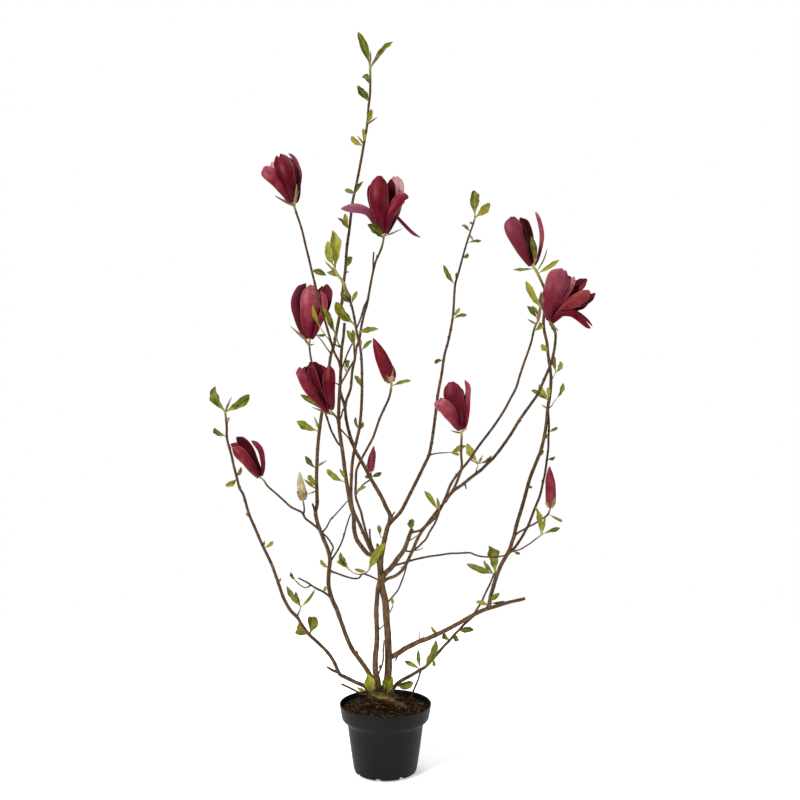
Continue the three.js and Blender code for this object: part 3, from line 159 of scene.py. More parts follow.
floor = added("studio_floor", bpy.ops.mesh.primitive_plane_add, size=FLOOR_SIZE)
floor_paint, tree, surface = shader("studio_white")
away = node(tree, "VectorMath", {0: room(tree)}, output="Value", operation="LENGTH")
feed(tree, surface, {
    "Base Color": FLOOR_WHITE, "Roughness": 0.9, "Specular IOR Level": 0.0, "Emission Color": (1, 1, 1, 1),
    "Emission Strength": node(tree, "MapRange", {"Value": away, "From Min": NEAR, "From Max": FAR,
                                                 "To Min": GLOW_NEAR, "To Max": GLOW_FAR})})
floor.data.materials.append(floor_paint)
print("floor:", FLOOR_SIZE, "m across")

# %% Sky
BACKDROP, SKY_LIGHT = 1.0, 0.13


def mix(factor, first, second, blend="MIX"):
    colours = {key: (*c, 1) if isinstance(c, tuple) else c
               for key, c in (("Color1", first), ("Color2", second))}
    return node(factor.id_data, "MixRGB", {"Fac": factor, **colours}, blend_type=blend)


sky = bpy.data.worlds.new("studio_sky")
sky.use_nodes = True
shown = node(sky.node_tree, "LightPath", {}, output="Is Camera Ray")
glow = mix(shown, (SKY_LIGHT,) * 3, (BACKDROP,) * 3)
feed(sky.node_tree, sky.node_tree.nodes["Background"], {"Color": glow})
bpy.context.scene.world = sky
bpy.context.scene.view_settings.view_transform = "Standard"
print("sky: backdrop", BACKDROP, "and light", SKY_LIGHT)

# %% Lights
LIT_PLACE = Vector((0, 0, 0.8))
SOFTBOXES = {                      # place, size in metres and watts
    "key_light": ((-1.9, -2.4, 2.8), 1.1, 118),
    "fill_light": ((2.6, -1.6, 1.6), 2.0, 24),
    "top_light": ((0.2, 0.3, 3.4), 1.8, 30),
    "back_light": ((-1.3, 2.6, 2.3), 2.2, 42),
}
for name, (spot, size, watts) in SOFTBOXES.items():
    light = added(name, bpy.ops.object.light_add, type="AREA", location=spot)
    light.data.size = size
    light.data.energy = watts
    light.rotation_euler = (LIT_PLACE - Vector(spot)).to_track_quat("-Z", "Y").to_euler()
print("lights:", ", ".join(SOFTBOXES))

# %% [markdown]
# ## The traced plant
# These are the routes of the CAD source, a few of them traced again more closely. A row starts with
# the names of what it describes and what carries it, and ends with a semicolon. Commas part the
# points of a limb, or the leaves and tepals of one limb. Depths that a limb's route leaves out are
# spread along it.

# %% Reading the rows
def rows_of(text):
    """Rows as lists of fields, each a list of words and numbers."""
    return [[[word if word[0].isalpha() else float(word) for word in field.split()]
             for field in row.split(",")] for row in text.split(";") if row.strip()]


def blades_of(texts):
    """Leaves or spikes of every stem node, each with its limb's name first."""
    return {name: [(limb, *blade) for (limb,), *blades in rows_of(text) for blade in blades]
            for name, text in texts.items()}


print("a row reads as:", rows_of("tall inner 6.2 4.8, 335 340, 336 335;"))

# %% Limbs
# limb, the limb or ground that it grows from, width at root and tip in mm, then its points
LIMB_ROWS = {
    "stem_left": """
left ground 7.4 4.2, 379 718 -8, 378 706 -10, 373.5 695 -15, 367.5 690, 365 686.5, 360 684, 355 682,
 350 679.5, 345 677, 340 674.5, 338 671, 335.5 665, 333.5 661, 331 657, 328.5 653.5, 325 649.5, 315 640,
 310 635.5, 303 626.5, 297 617, 291 611, 284 599, 279 585, 275.5 575, 271.5 564, 265 550.5, 261 542,
 255 528, 249 514, 243 494, 239.8 488.6, 236.7 477, 233.7 465.6, 231.8 456.5, 229 446.5, 226.8 437,
 226.8 428, 226 419, 225 411 -95;
left_stub left 5.5 4.5, 338.5 672, 333 670.5, 327.3 667;
left_twig left 2.6 2, 297 617, 299 612, 301 607;
dead_twig left 4.2 3.8, 369 697, 363 694, 358 692, 350 688, 341.5 684 -34;
""",
    "stem_inner_left": """
inner ground 9.6 6, 372.5 724 15, 373 706, 374 694 15, 375 684, 370 675, 365 667, 360 660, 357 656,
 354 652, 350 645, 347 638, 345 633, 343 627, 340 619, 337 610, 332 599, 328.6 585, 329 571, 330 560,
 328 550, 324 540, 320 530, 317 521, 315.5 512, 317 505, 317 495, 316.5 480, 317 462, 317.8 446.5,
 319.4 431, 322 412 64, 325 395, 328 378, 329.5 364, 331 354.7, 334 345, 336 335 74;
tall inner 6.2 4.8, 335 340, 336 335, 338.5 321, 341.8 303, 342.8 290, 344 280, 345.3 270, 347 246,
 349.3 230, 351.2 213, 352.9 200, 356 186, 360 166, 364.4 141, 367.5 122, 368.4 108, 370 94, 370.3 80,
 370 64.6 112;
inner_knot inner 6 4, 359 658.5, 357 655.5, 357 651;
inner_stub inner 5 3.5, 315.3 512, 314 508, 312.3 503.5;
inner_cut inner 5 3.2, 331 598, 323.5 592, 315 587.7, 308 583, 298.5 578 10;
inner_cut_side inner_cut 2.6 2, 311 585, 306 587.7, 300 585, 295.4 580.5;
bloom6_stem inner 5.2 4, 319.5 530, 312 523.5, 305 518, 302.5 513, 291 507, 283.7 500.4, 275.5 493,
 267 485.5, 264.3 481, 259.5 476.8 20;
bud12_stem bloom6_stem 3.4 3.6, 303.5 514, 304.3 510, 303 500 34;
inner_loop inner 3.6 3.4, 322 531, 327.6 538 56, 333.2 547.5 58, 332 551 50, 330.3 558 38;
inner_twig_up inner 3.6 2.6, 322 533, 326 528, 331 519, 335 515, 340.8 508.6, 347.5 501 50;
inner_twig_long inner 4 2.8, 330.5 562, 337.8 550, 342.5 540, 346.9 525, 350.5 514 52;
inner_right inner 4 3.2, 329.5 570.5, 340 574.5, 350 577.8, 354 578.5, 359 578, 361 575.5, 363 573.8,
 366 574.5, 370 576, 378.5 580 22;
inner_leafy inner_right 2.2 1.8, 362 574.5, 357 574, 353.5 573, 350 570, 348 568.5;
inner_leafy_front inner_right 2.4 2, 364.5 574.2, 367 572, 369.5 569.5 -17;
inner_thin inner 2.8 2, 331 354, 327 348.5, 322 341, 318 336.5, 316 334.5 50;
""",
    "trunk": """
trunk ground 15.5 11.6, 386.5 724 -2, 386 706, 385.5 694 0, 387.5 680, 388.3 670, 388.5 660, 388 640,
 387.5 630, 386.5 620, 386 610, 385 600, 382.5 590, 381 580, 380.5 570, 379.5 562, 377 556 0;
twin ground 13 7.6, 380 724 -7, 380 706, 379 692 -9, 377.5 680, 375.5 672, 375.5 655 -9, 376.5 647,
 377 635, 376.5 620, 376.3 610, 377 600, 378 588, 380.5 577 0;
twin_side twin 3.6 3, 376.8 677, 381 668, 383 661, 383.3 650, 384 640 -16;
crown_shoot trunk 5 3.5, 385.7 699, 384.5 690 -13, 385.3 683 -15;
twin_link twin 3 2.6, 377 630.5, 380 628.5, 385 624 -3;
tiny_side trunk 2.6 1.8, 386.5 616, 391 610, 393 605 -6;
thin_rise trunk 3.6 3, 385.5 605, 391 598.5, 394 595, 398 590, 401 583, 403.5 576.5, 405.5 570,
 407.5 562 -12;
up_one trunk 8.5 5.5, 378 558, 372 555, 368 554, 365 551, 360 544.5, 357 540, 355 534, 354 528, 353.5 515,
 350.6 505, 348.3 492, 346.4 481, 344.9 470.6, 343 455, 340.8 440, 339.2 428, 338.7 413, 339.2 397.6,
 340.2 382, 340.8 367, 341.7 348.6, 343.5 336, 344.5 323 36;
up_two trunk 7.2 4.6, 378 557, 372 552, 369 546, 365 537, 362 530, 359 523, 356 517, 353.5 511, 352 505,
 351 493.6, 351.4 478, 352.3 463, 354 452, 356.7 440, 359 430, 360.6 418, 361.5 405, 362 390, 362 377,
 361.6 362, 360.6 350, 358 338, 356.5 331, 354.5 319, 351.4 305, 349 299, 347 295 -40;
young up_two 8.5 3.4, 348.5 298, 345 288, 342.5 281, 339 276.5, 335.5 271, 334.5 264 -46;
bloom5_stem trunk 4.8 4.2, 376 556, 372 551, 367.4 537, 362.8 520, 361 512, 358 504, 355.6 496, 355.9 483,
 356.4 471, 360 462, 366 450.7, 372.8 438, 375.9 429.5, 379.5 419, 384 409, 389 398, 391 389,
 391.4 382.5 -62;
stub_one trunk 4.2 3.6, 377 557, 371.5 545, 370 537, 369.7 529 -14;
stub_two trunk 5.4 5, 379 560, 377.8 552, 377.5 544 -8;
up_four trunk 10 8, 379.5 563, 381.5 555, 383 547, 384.5 540, 386 533, 388 526, 391 520 4;
u_sprig up_four 2 1.6, 385 538, 381 537, 379.8 535;
v_spur up_four 3.2 2.4, 390.8 520, 393 514.5, 394.7 511.8;
fork_left up_four 8 5.6, 391 521, 390 515, 386 507, 382 498, 376 487.5, 371 479, 366 469.5, 361 460.5,
 356 452, 352.5 443, 350 435.5, 348 428, 346 418, 344.8 407, 342.5 399, 340.2 391 26;
strand_thin up_one 3 3, 339.4 428, 345 434, 349 438.7, 351 443, 355 450 14;
strand_red fork_left 3.4 3, 344.8 408, 342.5 411, 341.5 416, 339 421 24;
bloom2_stem fork_left 5.4 4.2, 345 407, 346.5 400, 350.5 389, 351.5 380, 352.6 369, 354.5 361, 355.5 354,
 356.5 347, 359 341, 360.5 332, 362 323, 364.5 313, 367.5 302, 369 293, 371 282, 373 272, 375.5 262,
 378.5 255, 381.5 248, 383 242, 384.5 233.5 8;
strand_left bloom2_stem 4.2 3.4, 367.8 299, 364 307, 362 314, 360 320, 356.3 329 -28;
stub_three bloom2_stem 3.4 3, 373.3 270, 373.2 260, 373.8 252;
branch_a up_one 3.4 3, 340.8 372, 344 363, 347.3 354, 352 344 22;
branch_b up_one 3.8 3.4, 340.2 385, 344.5 377.5, 349 369, 354.3 360 18;
branch_c bloom2_stem 3.8 3, 355 358, 354 350, 354.3 343, 354.5 336;
spur_four up_one 2.4 2, 340 385.5, 337 383.8, 333.5 382;
bloom1_stem up_one 4.8 4, 340.8 367, 338.2 360, 335 354, 332.5 347, 330.5 340, 326.5 326, 323 314,
 320 305, 317.5 295, 316 288, 313.5 278, 311.3 269, 308.9 258.6, 305.5 245, 302.5 232, 299.5 222, 297 215,
 294.8 208, 292.6 202.5 -12;
link_one up_one 3 3, 341.8 347, 338.5 346.5, 335 344.5, 331.5 344 31;
link_two link_one 2.6 2.2, 340 346.7, 337.8 342, 336.3 337, 335.3 334;
leaf_stalk bloom1_stem 2.4 2, 332 345, 329 339.5, 325.5 335.5, 322 330, 319 325.5 22;
bloom3_stem up_one 4.2 4, 341.5 446, 338 443, 334.5 437, 331 430, 328 421, 325 412 42, 320 395 58,
 315 376, 311.3 360, 309.7 350, 309.5 345, 309.9 338.5 86;
bloom4_stem up_one 4.4 4, 339.2 429, 338 423, 336.8 418, 334 414.5, 330.5 410.5 -34;
bud11_stem bloom5_stem 3 3, 355.6 495, 359 490, 362.3 485.5, 366 482.5, 369.5 480, 371 476.5,
 370.7 471.5 38;
v_stem up_four 7.2 3.8, 389.8 523, 394 519, 398 515, 401.5 510.5, 406 502, 409 496, 412 490, 416.5 481,
 419.5 475, 424.8 464, 429 455, 431.5 443, 433.2 432, 434.8 420, 436 410, 437.4 398, 439 388, 441.5 375,
 444.5 355, 448.5 340, 451.5 325, 453.3 312, 454.3 295, 455.3 284, 459 271, 463 256, 467 242, 471 230,
 473.5 223, 475.3 216.5 48;
v_twig v_stem 3.2 2.2, 429 455, 437 453.3, 444 452.8, 451 452.5;
right_bough trunk 10.5 7, 381 579, 386 572.5, 390 569, 394 564, 398 558, 402 553, 405 548, 407.5 541,
 410 534, 412 529 -22;
rb_tiny right_bough 2.4 1.6, 407.5 541.5, 413 538.5, 417 535.5;
bough_one right_bough 4.6 4.4, 410.5 532.5, 416 531.5, 420 530.3, 424 527, 430 519.5, 435 513, 439 508,
 444 502.5, 447 498 -34;
low_limb trunk 7 5.8, 381.5 583, 388 578.5, 394 576.5, 401 571.5, 405 566, 407.5 561.5, 410 556,
 413 549.5, 416 542, 419 536, 422 531, 426 526, 430 522.5, 435 517.5, 439 511, 443 504, 446.5 498.5 -34;
low_tiny low_limb 2.4 1.6, 412.5 550.5, 418 550, 423 548;
bough_three low_limb 4.2 3.8, 412.5 551, 418 547, 422 543, 426 539, 429 533, 432 528, 435 523, 437.5 517,
 440.5 508.5 -31;
link_three right_bough 3.6 3.2, 404 550, 409 551.5, 413 550 -16;
long_twig right_bough 4.4 2.6, 393 565.5, 400 564, 410 560.8, 420 558.3, 430 556.3, 440 555, 450 553.5,
 460 553.2, 466 552.7, 471 553, 475 554.8, 480 556.2, 485 556.8, 496 557, 505 555.3, 510 552.5, 515 550.6,
 520 549.5, 526 546, 530 543.5, 535 539.5, 540 536, 542.5 534 -16;
bloom7_stem bough_one 5 4.4, 445 501, 451 493, 455 486, 458 479, 460.5 472, 461.8 465, 461.2 455,
 461.3 445, 461.6 437, 461.6 429.5 -72;
q_stem bough_one 5.2 3.8, 443.5 503, 447 494, 450 486, 454 479, 459 472.5, 464 466.5, 470 459, 475 451.5,
 481 443, 488 434, 495 424.5, 500 417, 505 409, 510 399.5, 516 388, 520 375, 524 363, 528 352, 531.5 341,
 533.5 332, 535.5 325.5, 538.5 320, 540.3 312, 541 305 -66;
bloom9_stem low_limb 6.4 5, 444.5 501.5, 450 494.5, 455 489.5, 460 486.3, 465 482.5, 471 477.5, 476 473.8,
 481 470, 487 464, 493 458.3, 499 451, 505 442.7, 511 434, 517 424, 522 416.3, 528 408, 533 401,
 537.5 394.5, 541 387, 544 380, 547 373, 550 366, 552.3 358.5, 554 351, 555.2 343, 555.5 334, 554 328,
 551.3 322 -8;
w_leafy bloom9_stem 2.8 2, 475 474.5, 477 468.5, 478 463.5;
q_pink q_stem 2.4 1.8, 470 459, 474 461.5, 477 463.5;
w_spur bloom9_stem 3 2.2, 464.5 483, 465.5 486, 466.3 489;
""",
    "stem_right": """
right_low ground 7.6 4.6, 388 712 14, 389 706, 391 694 14, 394 687.5, 398.5 682.5, 405 678.5, 410 676,
 415 673, 420 670, 425 667, 430 662, 437 654, 441 649.5, 445 645, 450 640, 455 634, 460 629, 464 624.5,
 468 621, 475 614.5 24;
right_prop right_low 3.4 3.8, 421 669.5, 418 680, 415 687, 413 692, 411 697, 407 703, 404.5 712,
 404 722 12;
right_arm ground 10.2 6, 388 658 2, 393 656, 400 652, 405 648.5, 410 646, 415 643.5, 420 641, 425 639.5,
 430 637.5, 440 633, 450 628, 460 622.5, 470 617, 475 614 24, 480 611.5, 485 609.5, 490 608, 500 605,
 510 602, 520 599.8, 525 598.5 34;
arm_stub right_arm 4 3.4, 398.5 653, 397 657, 395.5 660.5 -4;
arm_sprig right_arm 2.2 1.6, 420 641, 419.7 636, 419.5 631;
arm_sprig_two right_arm 1.8 1.4, 421 640.5, 424 635.5;
right_rise right_arm 7.8 5.4, 488.5 608.5, 490 600, 491.3 594, 493 588, 495 581, 497 575, 500 567.5,
 503.5 560.5, 506 556.5 40, 508 552.5, 510.3 548, 512 542, 514 536.5, 516 527, 518 520, 520 513.5,
 522 507, 524 500, 526 492.5, 528.5 483, 531.5 474, 534.5 466.5, 537.5 459, 540.5 451.5, 543.5 440,
 545.3 431, 546.7 420, 548 406 62, 549.5 398, 550.6 388, 551 378, 550.2 369, 548.8 360, 547.6 350,
 546.8 342, 544.6 332.5 66, 543.5 322, 545 305 72, 545.3 292, 543 285, 540.5 279.5, 537 272.5,
 532.6 265.5 60;
right_slim right_arm 4 3.4, 474 615, 479 606, 481.3 603, 483.5 597.5, 486 592, 489 586, 491.5 580.5,
 494 574.5, 499.5 568.5 36;
right_mate right_rise 5.6 4, 507.5 554, 513 549.5, 516 546, 519 541.5, 522 537, 525 531.5, 528 526,
 530 521, 532.5 514.5, 534.5 509, 537 503, 539.5 497, 541.5 489.5, 543 482 68, 544.7 475, 545.8 468,
 546.7 461, 547.5 455, 548.3 448, 548.5 438, 549 426, 548 407 62;
bud10_stem right_rise 4.2 3.8, 514.3 535.5, 520 531.5, 525 529, 530 526, 535 523.5, 540 520, 545 517,
 548 514.3, 550.5 507.5 18;
right_stalk right_rise 2.4 1.8, 547.8 409, 551 406.5, 554 402, 557 398;
right_stalk_two right_rise 2.2 1.8, 551 381, 553.5 376.5, 556 372;
""",
}
LIMBS = {name: [(*head, points) for head, *points in rows_of(text)] for name, text in LIMB_ROWS.items()}
print("limbs:", sum(map(len, LIMBS.values())))

# %% Leaves
# limb, then its leaves: root across and down, tip across and down, width, tip's depth against the
# root's in mm
LEAF_ROWS = {
    "stem_left": """
left, 225.5 411 215.3 386 9, 226 412 249.3 394.5 8, 226.5 423 229.5 417 2.5, 226.8 436.5 213.4 429 5,
 236.7 477 241 467 3.5, 236.8 478.5 225.6 486 5, 250 517 245.5 513 2.5, 278.5 583 281 578 2.5,
 263 546.5 264.5 540.5 2.5, 263.5 548 273.5 541.5 3.5;
left_twig, 301 607 286.7 586 5, 300 604.5 295.4 592 4, 301 607 315 589 3;
left, 309 635.5 298.5 623.5 11 24, 309 635 313 617 10.5 30, 369.8 695 368 674 10 -16,
 367.5 690.5 357 687 3.5 -10, 370 690 389 697.5 3 -26;
""",
    "stem_inner_left": """
inner_leafy, 348.5 568.5 340.5 552 6.5, 348 568.5 336.8 561 3.5;
inner_leafy_front, 367 572 354.5 569 3.5 -8, 369 570 385.5 543 8 -16, 369 570 370.3 557 3 -6;
inner, 317 469 305.2 456 5, 316.5 488 308.5 475 5.5, 316.5 490 304 479.4 3, 319.5 431.5 296.8 421.3 8,
 319.5 430 314 416.5 2.5, 317 467 327 460 2.5, 329 569 320.5 560 4;
inner_cut, 323.5 592 325.5 586 3;
inner_cut_side, 295.4 580.5 290.8 571.8 3.5;
inner_thin, 316 334.5 325 335.5 3;
tall, 370 65.5 358 32 8.5, 370 69 393 41.7 6.5, 370.3 86 363 75.5 7, 369.5 102 357.5 85.5 7,
 369 102 364 91 4.5, 368 125 371.5 109 5.5, 364 146.5 351 136.7 5.5, 364 145 363 128.4 4.5,
 354.5 193 344.6 190 5, 354 196 363.7 181.5 4, 349.3 230 337 218 4.5, 349.3 229.5 345 213.5 5,
 345.5 268.5 351 256.5 5.5;
""",
    "trunk": """
trunk, 387 694 392.5 677 10.5 -24;
twin_side, 382 666 378.5 667.5 4 -8;
tiny_side, 393 605 392 597 3;
up_one, 345.8 483 326.9 469.5 6, 345.5 482 339.5 469 3;
bloom5_stem, 355.8 493 366 486.5 3;
bud11_stem, 371 477 381.6 472.5 4.5 4, 370.5 478 364.8 476 3.5;
up_two, 359 430 355.5 417 3, 358.8 431 362.8 421.5 3.5, 356.7 332 378.5 329 5.5, 360.7 351 371.8 340.4 4,
 360.3 348 361 339.5 2.5, 355.5 325 335.7 302 9;
branch_c, 354 347 346.8 330 5, 354.3 344 352.5 329.5 4.5;
branch_b, 348.5 370 348 360 5;
up_two, 362 389 355 375.5 4.5, 350.8 303.5 340.5 292.5 5, 351 304.5 357 291.5 4;
young, 335 268 332.5 230.3 9.5 -14, 334.8 267 328 241 6.5 -30, 340 278 327 272.5 5;
bloom1_stem, 311.5 270 326 275.5 6;
leaf_stalk, 319 326 313 304.7 4.5 -14;
link_two, 335.5 335 322.5 307.5 5.5 -14, 335 334 328 310.8 5 -4;
bloom3_stem, 309.6 344 289.7 325.6 3 -10;
bloom4_stem, 336 417 300.4 394.5 5.5 52;
bloom5_stem, 391.2 386 411 380.5 3.5;
bloom2_stem, 383.3 239 367.5 224.5 9 -36;
bloom1_stem, 294.3 206.5 274.4 195.5 2.6 -34;
v_stem, 475.2 217.5 474.5 190.5 10, 475.2 217.5 490 203 8, 473 224 469.5 222 2.5, 470.3 232 461.5 225 3.5,
 469.5 234.5 473.5 240.5 2.5, 467 243 481.5 241 3, 462.5 258 468.5 254 4, 455.2 285 443.5 265 4.5,
 456 282 457 272.5 3, 453 317 460 307.5 3.5, 453 319.5 467 315 3.5, 443.8 360.5 434.5 363 4;
v_twig, 451 452.5 466 446 5.5, 450 452.5 459.5 454.8 3;
u_sprig, 380 535 378 525 4;
right_bough, 411.8 530 412.5 519 6;
low_limb, 439 511 424 491 5, 439 511 437 497.5 3;
w_leafy, 478 463.5 467 443.5 7, 478 464 491.5 455.5 2.8;
q_stem, 540.8 308 525.5 281 6, 538.7 319.5 527 306 4.5, 538.8 319 532 305.5 3, 541 307 541.3 291.5 5,
 533.6 331 541.5 323 5;
bloom9_stem, 555.3 333 547.8 319.5 3.5 -34;
long_twig, 542.3 534 560 528 4, 541.5 535 535 506.5 6, 542.3 534.3 545.5 517 3, 513 551.3 520 553.5 3;
""",
    "stem_right": """
right_arm, 438.5 633.5 431.5 626 3.5;
right_slim, 495.5 572.5 488.3 546 11.5, 494.5 574 466.5 564 6.5, 494 574.5 484 560 4;
right_rise, 489.3 605.5 476 601.5 4, 490 602 499.5 593 4.5, 489.7 603.5 505 601.5 3,
 528 486 532.5 487.5 3, 537.5 459 543.5 450 4;
right_mate, 546.9 459.5 555 456.5 3.5, 548.5 440 543.5 431.5 4, 548.8 432.5 557.5 427.5 3.5;
right_stalk, 556.5 399 563.5 383 4.5;
right_rise, 549.3 399.5 539 384 5, 549 401 531.5 390 5.5, 549.5 399 547.5 387 4;
right_stalk_two, 556 372.5 553.5 355 5, 555.5 373 561 361.5 5.5;
right_rise, 547.8 352 541.5 344 6;
bud10_stem, 548.5 514 562.5 521.5 3;
right_low, 424.5 667.3 436 639.5 8, 421 670 418.3 650 3.6, 421 670.2 404.5 661 4.2,
 433 658.5 434.5 667 3.5, 450 640 443 634 5.5, 455 634.5 458.5 641 5.5, 458 631 474 630 5.5,
 397 687 413.5 682.5 8.5 -10;
right_rise, 537.5 273.5 559.3 260 5, 534.5 268.5 513 269.5 3;
""",
}
LEAVES = blades_of(LEAF_ROWS)
print("leaves:", sum(map(len, LEAVES.values())))

# %% Blooms and buds
# bloom, limb, then its tepals: points from the root to the tip with the depth in drawing units
# against the root, greatest width, and the way that its outer face looks: 0 towards the viewer,
# 90 to the right of its own rise, 180 away from the viewer
BLOOM_ROWS = """
bloom_1 bloom1_stem, 283.5 188 -9 272.5 175 -12 265 165.5 -8 14.5 -20,
 289 185 -12 284 170 -13 277.5 153 -6 18 5, 281 182 4 274.5 170 6 272 161.5 6 8 180,
 290 180 8 288 166 9 283 157 6 14 170, 296.5 189 0 298 173 0 294.8 161 0 288 153 0 6 55,
 285 187 10 276 175 12 269 168 10 11 -150, 294 188 9 293 172 12 288 158 9 15 140;
bloom_2 bloom2_stem, 376 221 -3 369 211.5 -6 361 207.5 -8 351 206.5 -10 341 209 -10 11 -28,
 380.5 212 -12 378.5 195 -14 379.5 175 -8 19 0, 393 210 10 396 192 12 395.5 175 8 17 180,
 390 208 3 391.5 192 4 391 179 2 11 -170, 388 216 -9 394 205 -11 402.5 196 -8 409 197.5 -4 12 15,
 390 220 4 395.5 215.5 5 403 222 6 412 231 6 420.5 237.5 5 6 50, 378 212 10 375 194 12 376 181 8 15 -165;
bloom_3 bloom3_stem, 301 319 4 299.5 300 5 306 283.5 2 17 -52, 308 320 -11 310 302 -13 312.5 284 -6 20 -5,
 317 321 -7 322 305 -6 321 291 -3 11 30, 319 318 6 325 300 7 327 284 4 14 170,
 315 314 9 319 298 11 322.5 286 8 10 180, 305 316 11 306 300 13 311 287 9 18 -170;
bloom_4 bloom4_stem, 317 396 -8 307 382 -10 302 371 -8 299.5 366.5 -4 13 -40,
 322 392 6 315.5 375 8 313 361 5 20 180, 329.5 395 -10 328.5 380 -11 329.3 365 -7 12 8,
 318 389 3 311.5 371 2 310 361.5 0 8 160, 326 390 10 322.5 376 12 319 364 10 13 170,
 314 392 9 306 378 10 305 366.5 7 12 -150;
bloom_6 bloom6_stem, 249 463.5 -9 240 453.5 -10 232 447.5 -6 11.5 -10,
 248 458 0 239.5 447 2 230.5 444 2 10 -30, 253 460 3 246.5 447 4 236.5 437 2 11 165,
 262 463 -2 259.5 450.5 -2 251.5 440.5 0 7.5 30, 250 461 9 243 450 10 236 443 6 11 180,
 248 462 9 240 452 10 234 446 6 11 -150;
bloom_7 bloom7_stem, 452 415 -10 444.5 406 -11 434 403.5 -7 13.5 -10,
 457 410 -3 453 395 -4 451 381 0 18 5, 460 410 5 459.5 397 6 457.5 386 4 10 170,
 466 413 0 466.5 397 0 467 388 0 464.8 380 0 7.5 50, 456 412 9 452 398 11 450 386 8 16 180,
 452 414 6 446 404 7 440 398 5 10 -150;
bloom_8 right_rise, 523 248.5 -10 515 232 -12 512.5 216 -7 17.5 -5,
 528.5 250 3 527 235 4 520 217.5 2 13 160, 539 251 0 541 237 0 539.5 225 0 535 211 0 6.5 50,
 524 247 9 518 231 11 515 219 8 15 180, 535 256 -6 533.5 246 -7 531 236.5 -6 6.5 5,
 522 249 8 521 236 10 519 223 7 11 165;
bloom_9 bloom9_stem, 550 303 -11 555.5 287 -13 565 268 -6 22 0, 562 301 3 575.5 288 4 587 279 2 12 180,
 559 303 -3 568 289 -4 574.5 276 -1 7.5 20, 563.5 307 -6 577.5 299 -8 590.5 290.5 -6 12 10,
 570 304 2 584 301 3 595.5 293 2 8 160, 561 312.5 -6 573 312 -8 584 319 -8 593 328.5 -7 10.5 30,
 555 304 9 562 290 11 570 276 8 18 180, 565 308 8 578 305 9 588 304 7 11 170;
"""
# closed bud, limb and radii along it in drawing units, then the points of its axis
BUD_ROWS = """
bloom_5 bloom5_stem 3.2 7.2 6.8 4.9 0.8, 387 371 0, 382 359 0, 377 347 0, 373.4 338.4 0;
bud_10 bud10_stem 3 5.6 5.6 4.1 0.7, 550.6 499 0, 550.4 489 0, 549.9 477 0, 549.5 466.5 0;
bud_11 bud11_stem 2.4 4.1 3.9 2.6 0.5, 370.6 466 0, 371.2 460 0, 372.8 452 0, 373.9 446 0;
bud_12 bud12_stem 3 4.8 4.4 3.1 0.5, 302 492 0, 300.4 484 0, 299.8 477 0, 299.4 471.5 0;
"""
BLOOMS = {name: (limb, [([t[i:i + 3] for i in range(0, len(t) - 2, 3)], *t[-2:]) for t in tepals])
          for (name, limb), *tepals in rows_of(BLOOM_ROWS)}
BUDS = {name: (limb, points, radii) for (name, limb, *radii), *points in rows_of(BUD_ROWS)}
print("blooms:", ", ".join(BLOOMS), "- buds:", ", ".join(BUDS))

# %% Bracts and spikes
# too thin for the CAD solids, in the same form as the leaves
SPIKE_ROWS = {
    "stem_left": """
left, 225.5 412 231.8 396.8 2;
""",
    "stem_inner_left": """
inner, 316.5 490.5 305.8 494.8 1.4 -26;
tall, 370 65 370.7 50.6 2, 370 67 379.7 53.8 1.4, 368 125 377.5 117 2, 364 145 357 135.5 2,
 345.2 271.5 349 272 2.2;
""",
    "trunk": """
branch_b, 347 373 344.5 365 2;
up_two, 350.8 303.5 350 293.5 2;
young, 336 272 324.8 261 2;
bloom4_stem, 335 415.5 311.6 407 2.4 -34;
w_leafy, 478 464 483 455 2.4;
q_stem, 536.5 324 527.5 319 2;
bloom2_stem, 383.5 236 403.5 228 1.6 -6;
bloom5_stem, 391 385 393.6 366.5 1.6 -20;
bloom7_stem, 461.4 433 450.5 430.4 1.8 -10, 461.4 432 467.4 428 2.2 -14;
bloom9_stem, 552.5 325 559 331.5 2 -24;
bloom5_stem, 391 384 386.5 375 2.4 -20;
bloom1_stem, 294.6 207.5 296.8 184 2.6 -34, 294.4 207 299 190.5 2.6 -20;
bloom3_stem, 309.6 345 315 344 1.6 -6, 309.7 347 302 335 2 -24;
q_stem, 537 322 540.5 303 2.6 -30;
bloom9_stem, 552 324 556 334 2.6 -20;
""",
    "stem_right": """
right_rise, 547.8 409.5 541.5 404.5 2, 536.5 272 547 248.3 1.8 10;
""",
}
SPIKES = blades_of(SPIKE_ROWS)
print("spikes:", sum(map(len, SPIKES.values())))

# %% [markdown]
# ## Smooth routes
# A centripetal spline runs through the traced points without overshooting. It is sampled every
# few millimetres, so a limb made along it has rings close enough together for its knots. The
# depths that were traced low down grow up the plant, where the limbs fan out.

# %% Depths along a route
FAN_FROM, FAN_TO, FAN_MOST = 690, 430, 1.9
DRIFT = [0.25, -0.3, 0.15, -0.2, 0.3, -0.12]          # depth against length of a route without an end


def fan(down):
    share = min(1, max(0, (FAN_FROM - down) / (FAN_FROM - FAN_TO)))
    return 1 + (FAN_MOST - 1) * share


def fill_depths(points, root_depth, index):
    route = [[p[0], p[1], p[2] * fan(p[1]) if len(p) > 2 else None] for p in points]
    travelled = [0.0]
    for a, b in zip(route, route[1:]):
        travelled.append(travelled[-1] + math.hypot(b[0] - a[0], b[1] - a[1]))
    if route[0][2] is None:
        route[0][2] = root_depth
    if route[-1][2] is None:
        route[-1][2] = route[0][2] + travelled[-1] * UNIT / MM * DRIFT[index % len(DRIFT)]
    known = [i for i, p in enumerate(route) if p[2] is not None]
    depths = np.interp(travelled, [travelled[i] for i in known], [route[i][2] for i in known])
    return [(p[0], p[1], d) for p, d in zip(route, depths)]


print("depths grow", fan(EYE_V), "times by the middle of the drawing")


